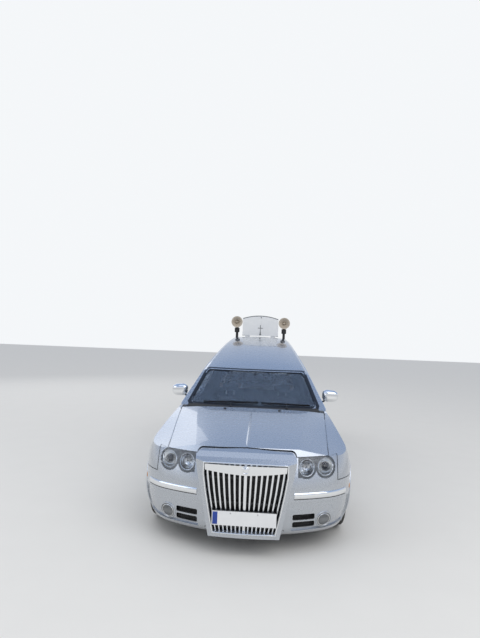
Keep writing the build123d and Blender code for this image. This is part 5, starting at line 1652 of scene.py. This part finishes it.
def makeGateTrim(s):
    # Blank plate in its frame, handle bar with two plate lamps, and lock
    bm = bmesh.new()
    tree = surfaceOf("tailgate")
    spot, normal = landOn(tree, (0, behindY, s["plateHeight"]), (0, -1, 0))
    place = at(*spot, Matrix.Rotation(math.asin(normal.z), 4, "X")) @ spun("Z", 180) @ spun("X", 90)
    addBlock(bm, (-0.268, -0.064, 0.002), (0.268, 0.064, 0.012), 0.004, 3, 1, place)
    addBlock(bm, (-0.258, -0.054, 0.0115), (0.258, 0.054, 0.0135), 0.001, 2, 2, place)
    addBlock(bm, (-0.257, -0.053, 0.0130), (-0.219, 0.053, 0.0140), 0.0005, 1, 3, place)
    for x in (-0.150, 0.150):
        addLathe(bm, [(0, 0.0016), (0.004, 0.0014), (0.006, 0.0), (0, 0.0)], place @ at(x, 0.040, 0.0135),
                 16, 4)
    z = s["plateHeight"] + 0.115
    bar = [(-0.021, -0.002), (-0.021, 0.007), (-0.014, 0.016), (0, 0.019), (0.014, 0.014), (0.021, 0.004),
           (0.021, -0.002)]
    addSweep(bm, lineOn(tree, (-0.36, behindY, z), (0.36, behindY, z), (0, -1, 0), 24), bar)
    for x in (-0.16, 0.16):
        spot, _ = landOn(tree, (x, behindY, s["plateHeight"] + 0.098), (0, -1, 0))
        low = (x - 0.028, spot.y + 0.001, spot.z - 0.012)
        addBlock(bm, low, (x + 0.028, spot.y + 0.012, spot.z - 0.002), 0.003, 2, 2)
    lock = [(0, 0.0022), (0.005, 0.0022), (0.006, 0.0034), (0.0115, 0.0034), (0.013, 0.001),
            (0.013, -0.001), (0, -0.001)]
    addLathe(bm, lock, seatOn(tree, (0, behindY, s["lockHeight"]), (0, -1, 0)), 28)
    finishPiece("gateTrim", bm, "brightChrome blackPlastic plateWhite plateBlue plainSteel",
                "tailgate", 40)


def makeHighLamp(s):
    bm = bmesh.new()
    z = s["highLampHeight"]
    stations = lineOn(surfaceOf("tailgate"), (-0.13, behindY, z), (0.13, behindY, z), (0, -1, 0), 12)
    edge = [(-0.014, -0.002), (-0.014, 0.002), (-0.0105, 0.002), (-0.0105, -0.002)]
    addSweep(bm, stations, even([(-0.011, -0.002), (-0.010, 0.005), (0, 0.0075)]))
    addSweep(bm, stations, edge, finish=1)
    addSweep(bm, stations, [(-x, y) for x, y in reversed(edge)], finish=1)
    finishPiece("highLamp", bm, "redLens blackPlastic", "tailgate", 40)


def makeRearWiper(s):
    bm = bmesh.new()
    tree = surfaceOf("tailgate_glass", "tailgate")
    z = s["wiperHeight"]
    place = seatOn(tree, (0, behindY, z), (0, -1, 0))
    addLathe(bm, [(0, 0.024), (0.012, 0.022), (0.018, 0.014), (0.020, 0.0), (0, 0.0)], place, 28)
    line = lineOn(tree, (0.02, behindY, z), (0.32, behindY, z + 0.075), (0, -1, 0), 14)
    arm = [(spot + out * (0.020 - 0.004 * t), side, out) for t, (spot, side, out) in zip(shares(14), line)]
    ends = [(0.10, behindY, z + 0.052), (0.48, behindY, z + 0.082)]
    blade, rubber = (lineOn(tree, *ends, (0, -1, 0), 16, lift=lift) for lift in (0.012, 0.005))
    addSweep(bm, arm, even([(-0.008, -0.003), (-0.006, 0.004)]))
    addSweep(bm, blade, even([(-0.006, -0.002), (-0.005, 0.004)]))
    addSweep(bm, rubber, even([(-0.003, -0.0048), (-0.004, 0.005)]), finish=1)
    finishPiece("rearWiper", bm, "blackPlastic tyreRubberFront", "tailgate", 40)


def makeOutletTip(s):
    bm = bmesh.new()
    lip = [(0.0305, 0.003), (0.0330, 0.001), (0.0335, -0.004), (0.0335, -0.055), (0.0318, -0.055),
           (0.0318, -0.006),
           (0.0300, -0.002), (0.0305, 0.003)]
    addLathe(bm, lip, at(*s["outletTip"], backward), 40)
    finishPiece("outletTip", bm, "brightChrome", sharp=40)


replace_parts(makeBumperTrim("bumperTrimLeft", 1, endSettings), "bumper_strips")
makeBumperTrim("bumperTrimRight", -1, endSettings)
for side, word in bothSides:
    makeSideMarker("sideMarker" + word, side, endSettings)
    makeRearLamp("rearLampBands" + word, side, endSettings)
makeRearBumperTrim(endSettings)
makeGateTrim(endSettings)
makeHighLamp(endSettings)
makeRearWiper(endSettings)
makeOutletTip(endSettings)

print("engine and door trims")
engineSettings = {
    "frontY": -2.560,
    # x, z, radius
    "pulleys": [(0.0, 0.400, 0.078), (0.130, 0.545, 0.046), (-0.130, 0.555, 0.052)],
    "belt": [(0.0, 0.290), (0.205, 0.560), (0.105, 0.610), (-0.105, 0.622), (-0.210, 0.560)],
}


def makeEngineDetails(s):
    # Block, two heads with bolts, cover, cap, pulleys with a belt, and two hoses
    bm = bmesh.new()
    addBlock(bm, (-0.205, -2.545, 0.300), (0.205, -1.965, 0.600), 0.030, 4)
    bolt = [(0, 0.010), (0.007, 0.009), (0.008, 0.005), (0.008, 0.0), (0.011, -0.001), (0, -0.001)]
    for side in (1, -1):
        head = at(side * 0.135, 0, 0.620, spun("Y", side * 18))
        addBlock(bm, (-0.070, -2.500, -0.060), (0.070, -2.010, 0.085), 0.018, 4, 1, head)
        for row in range(6):
            addLathe(bm, bolt, head @ at(side * 0.052, -2.46 + row * 0.082, 0.085), 16, 3)
    addBlock(bm, (-0.135, -2.480, 0.640), (0.135, -2.030, 0.768), 0.030, 5, 2)
    for rib in range(-3, 4):
        x = rib * 0.034
        addBlock(bm, (x - 0.006, -2.430, 0.764), (x + 0.006, -2.080, 0.776), 0.004, 3, 2)
    cap = [(0, 0.024), (0.020, 0.023), (0.026, 0.018), (0.027, 0.004), (0.034, 0.0), (0, 0.0)]
    addLathe(bm, cap, at(0.175, -2.430, 0.705), 32, 2)
    for x, z, radius in s["pulleys"]:
        profile = [(0, 0.010), (0.35, 0.010), (0.40, 0.002), (0.82, 0.002), (0.90, 0.012), (1, 0.012),
                   (1, 0.008),
                   (0.965, 0.004), (1, 0.0), (0.965, -0.004), (1, -0.010), (0, -0.010)]
        addLathe(bm, [(radius * share, height) for share, height in profile],
                 at(x, s["frontY"], z, forward), 40, 3)
    belt = []
    for point in dense(rounded(s["belt"], 0.050), 0.02):
        out = (point - Vector((0, 0.47))).normalized()
        belt.append((Vector((point.x, s["frontY"], point.y)), Vector((0, 1, 0)), Vector((out.x, 0, out.y))))
    addSweep(bm, belt, even([(-0.010, -0.002), (-0.010, 0.002)]), True, 4)
    for side in (1, -1):
        hose = []
        for t in shares(14):
            turn = t * math.pi * 0.5
            point = Vector((side * (0.075 + 0.130 * t), -2.490 - 0.055 * math.sin(turn),
                            0.700 - 0.240 * t * t))
            along = Vector((side * 0.130, -0.08 * math.cos(turn), -0.48 * t)).normalized()
            sideways = along.cross(Vector((0, 1, 0.02))).normalized()
            hose.append((point, sideways, sideways.cross(along).normalized()))
        addSweep(bm, hose, oval(0.021, 0.021, 14), finish=4)
    return finishPiece("engineDetails", bm, "castIron wheelAlloy dashPlastic plainSteel tyreRubberFront",
                       sharp=40)


def makeDoorTrim(name, side, door):
    # Armrest, pocket, waist strip, inner handle and loudspeaker
    bm = bmesh.new()
    tree = surfaceOf(door)
    x, outside = side * 0.35, (side, 0, 0)
    sizes = [0.35 + 0.65 * min(1.0, 4 * t, 5 * (1 - t)) for t in shares(20)]
    armrest = [(-0.034, -0.003), (-0.034, 0.018), (-0.022, 0.040), (0.0, 0.050), (0.020, 0.046),
               (0.030, 0.030),
               (0.033, -0.003)]
    pocket = [(-0.045, -0.003), (-0.045, 0.022), (-0.030, 0.034), (0.030, 0.030), (0.034, 0.026),
              (0.034, -0.003)]
    waist = even([(-0.012, -0.002), (-0.010, 0.006), (0, 0.009)])
    for y0, y1, z, section, grading, finish in ((-1.02, -0.36, 0.690, armrest, sizes, 0),
                                                (-1.15, -0.45, 0.470, pocket, sizes, 0),
                                                (-1.16, -0.16, 0.905, waist, None, 1)):
        addSweep(bm, lineOn(tree, (x, y0, z), (x, y1, z), outside, 20), section, False, finish, grading)
    place = seatOn(tree, (x, -0.86, 0.800), outside)
    addBlock(bm, (-0.055, -0.020, -0.002), (0.055, 0.020, 0.005), 0.004, 3, 0, place)
    addBlock(bm, (-0.044, -0.007, 0.004), (0.034, 0.009, 0.016), 0.004, 3, 2, place)
    place = seatOn(tree, (x, -1.060, 0.610), outside)
    rim = [(0.0, 0.003), (0.052, 0.005), (0.060, 0.009), (0.066, 0.007), (0.068, 0.0), (0.066, -0.002),
           (0.0, -0.002)]
    addLathe(bm, rim, place, 40, 1)
    for r in (0.014, 0.028, 0.042):
        addLathe(bm, [(r, 0.004), (r + 0.002, 0.0062), (r + 0.004, 0.0062), (r + 0.006, 0.004),
                      (r, 0.004)], place, 36)
    finishPiece(name, bm, "dashPlastic blackPlastic brightChrome", door, 40)


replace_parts(makeEngineDetails(engineSettings), "engine_block")
for side, word in bothSides:
    makeDoorTrim("doorTrim" + word, side, "door_" + word.lower())
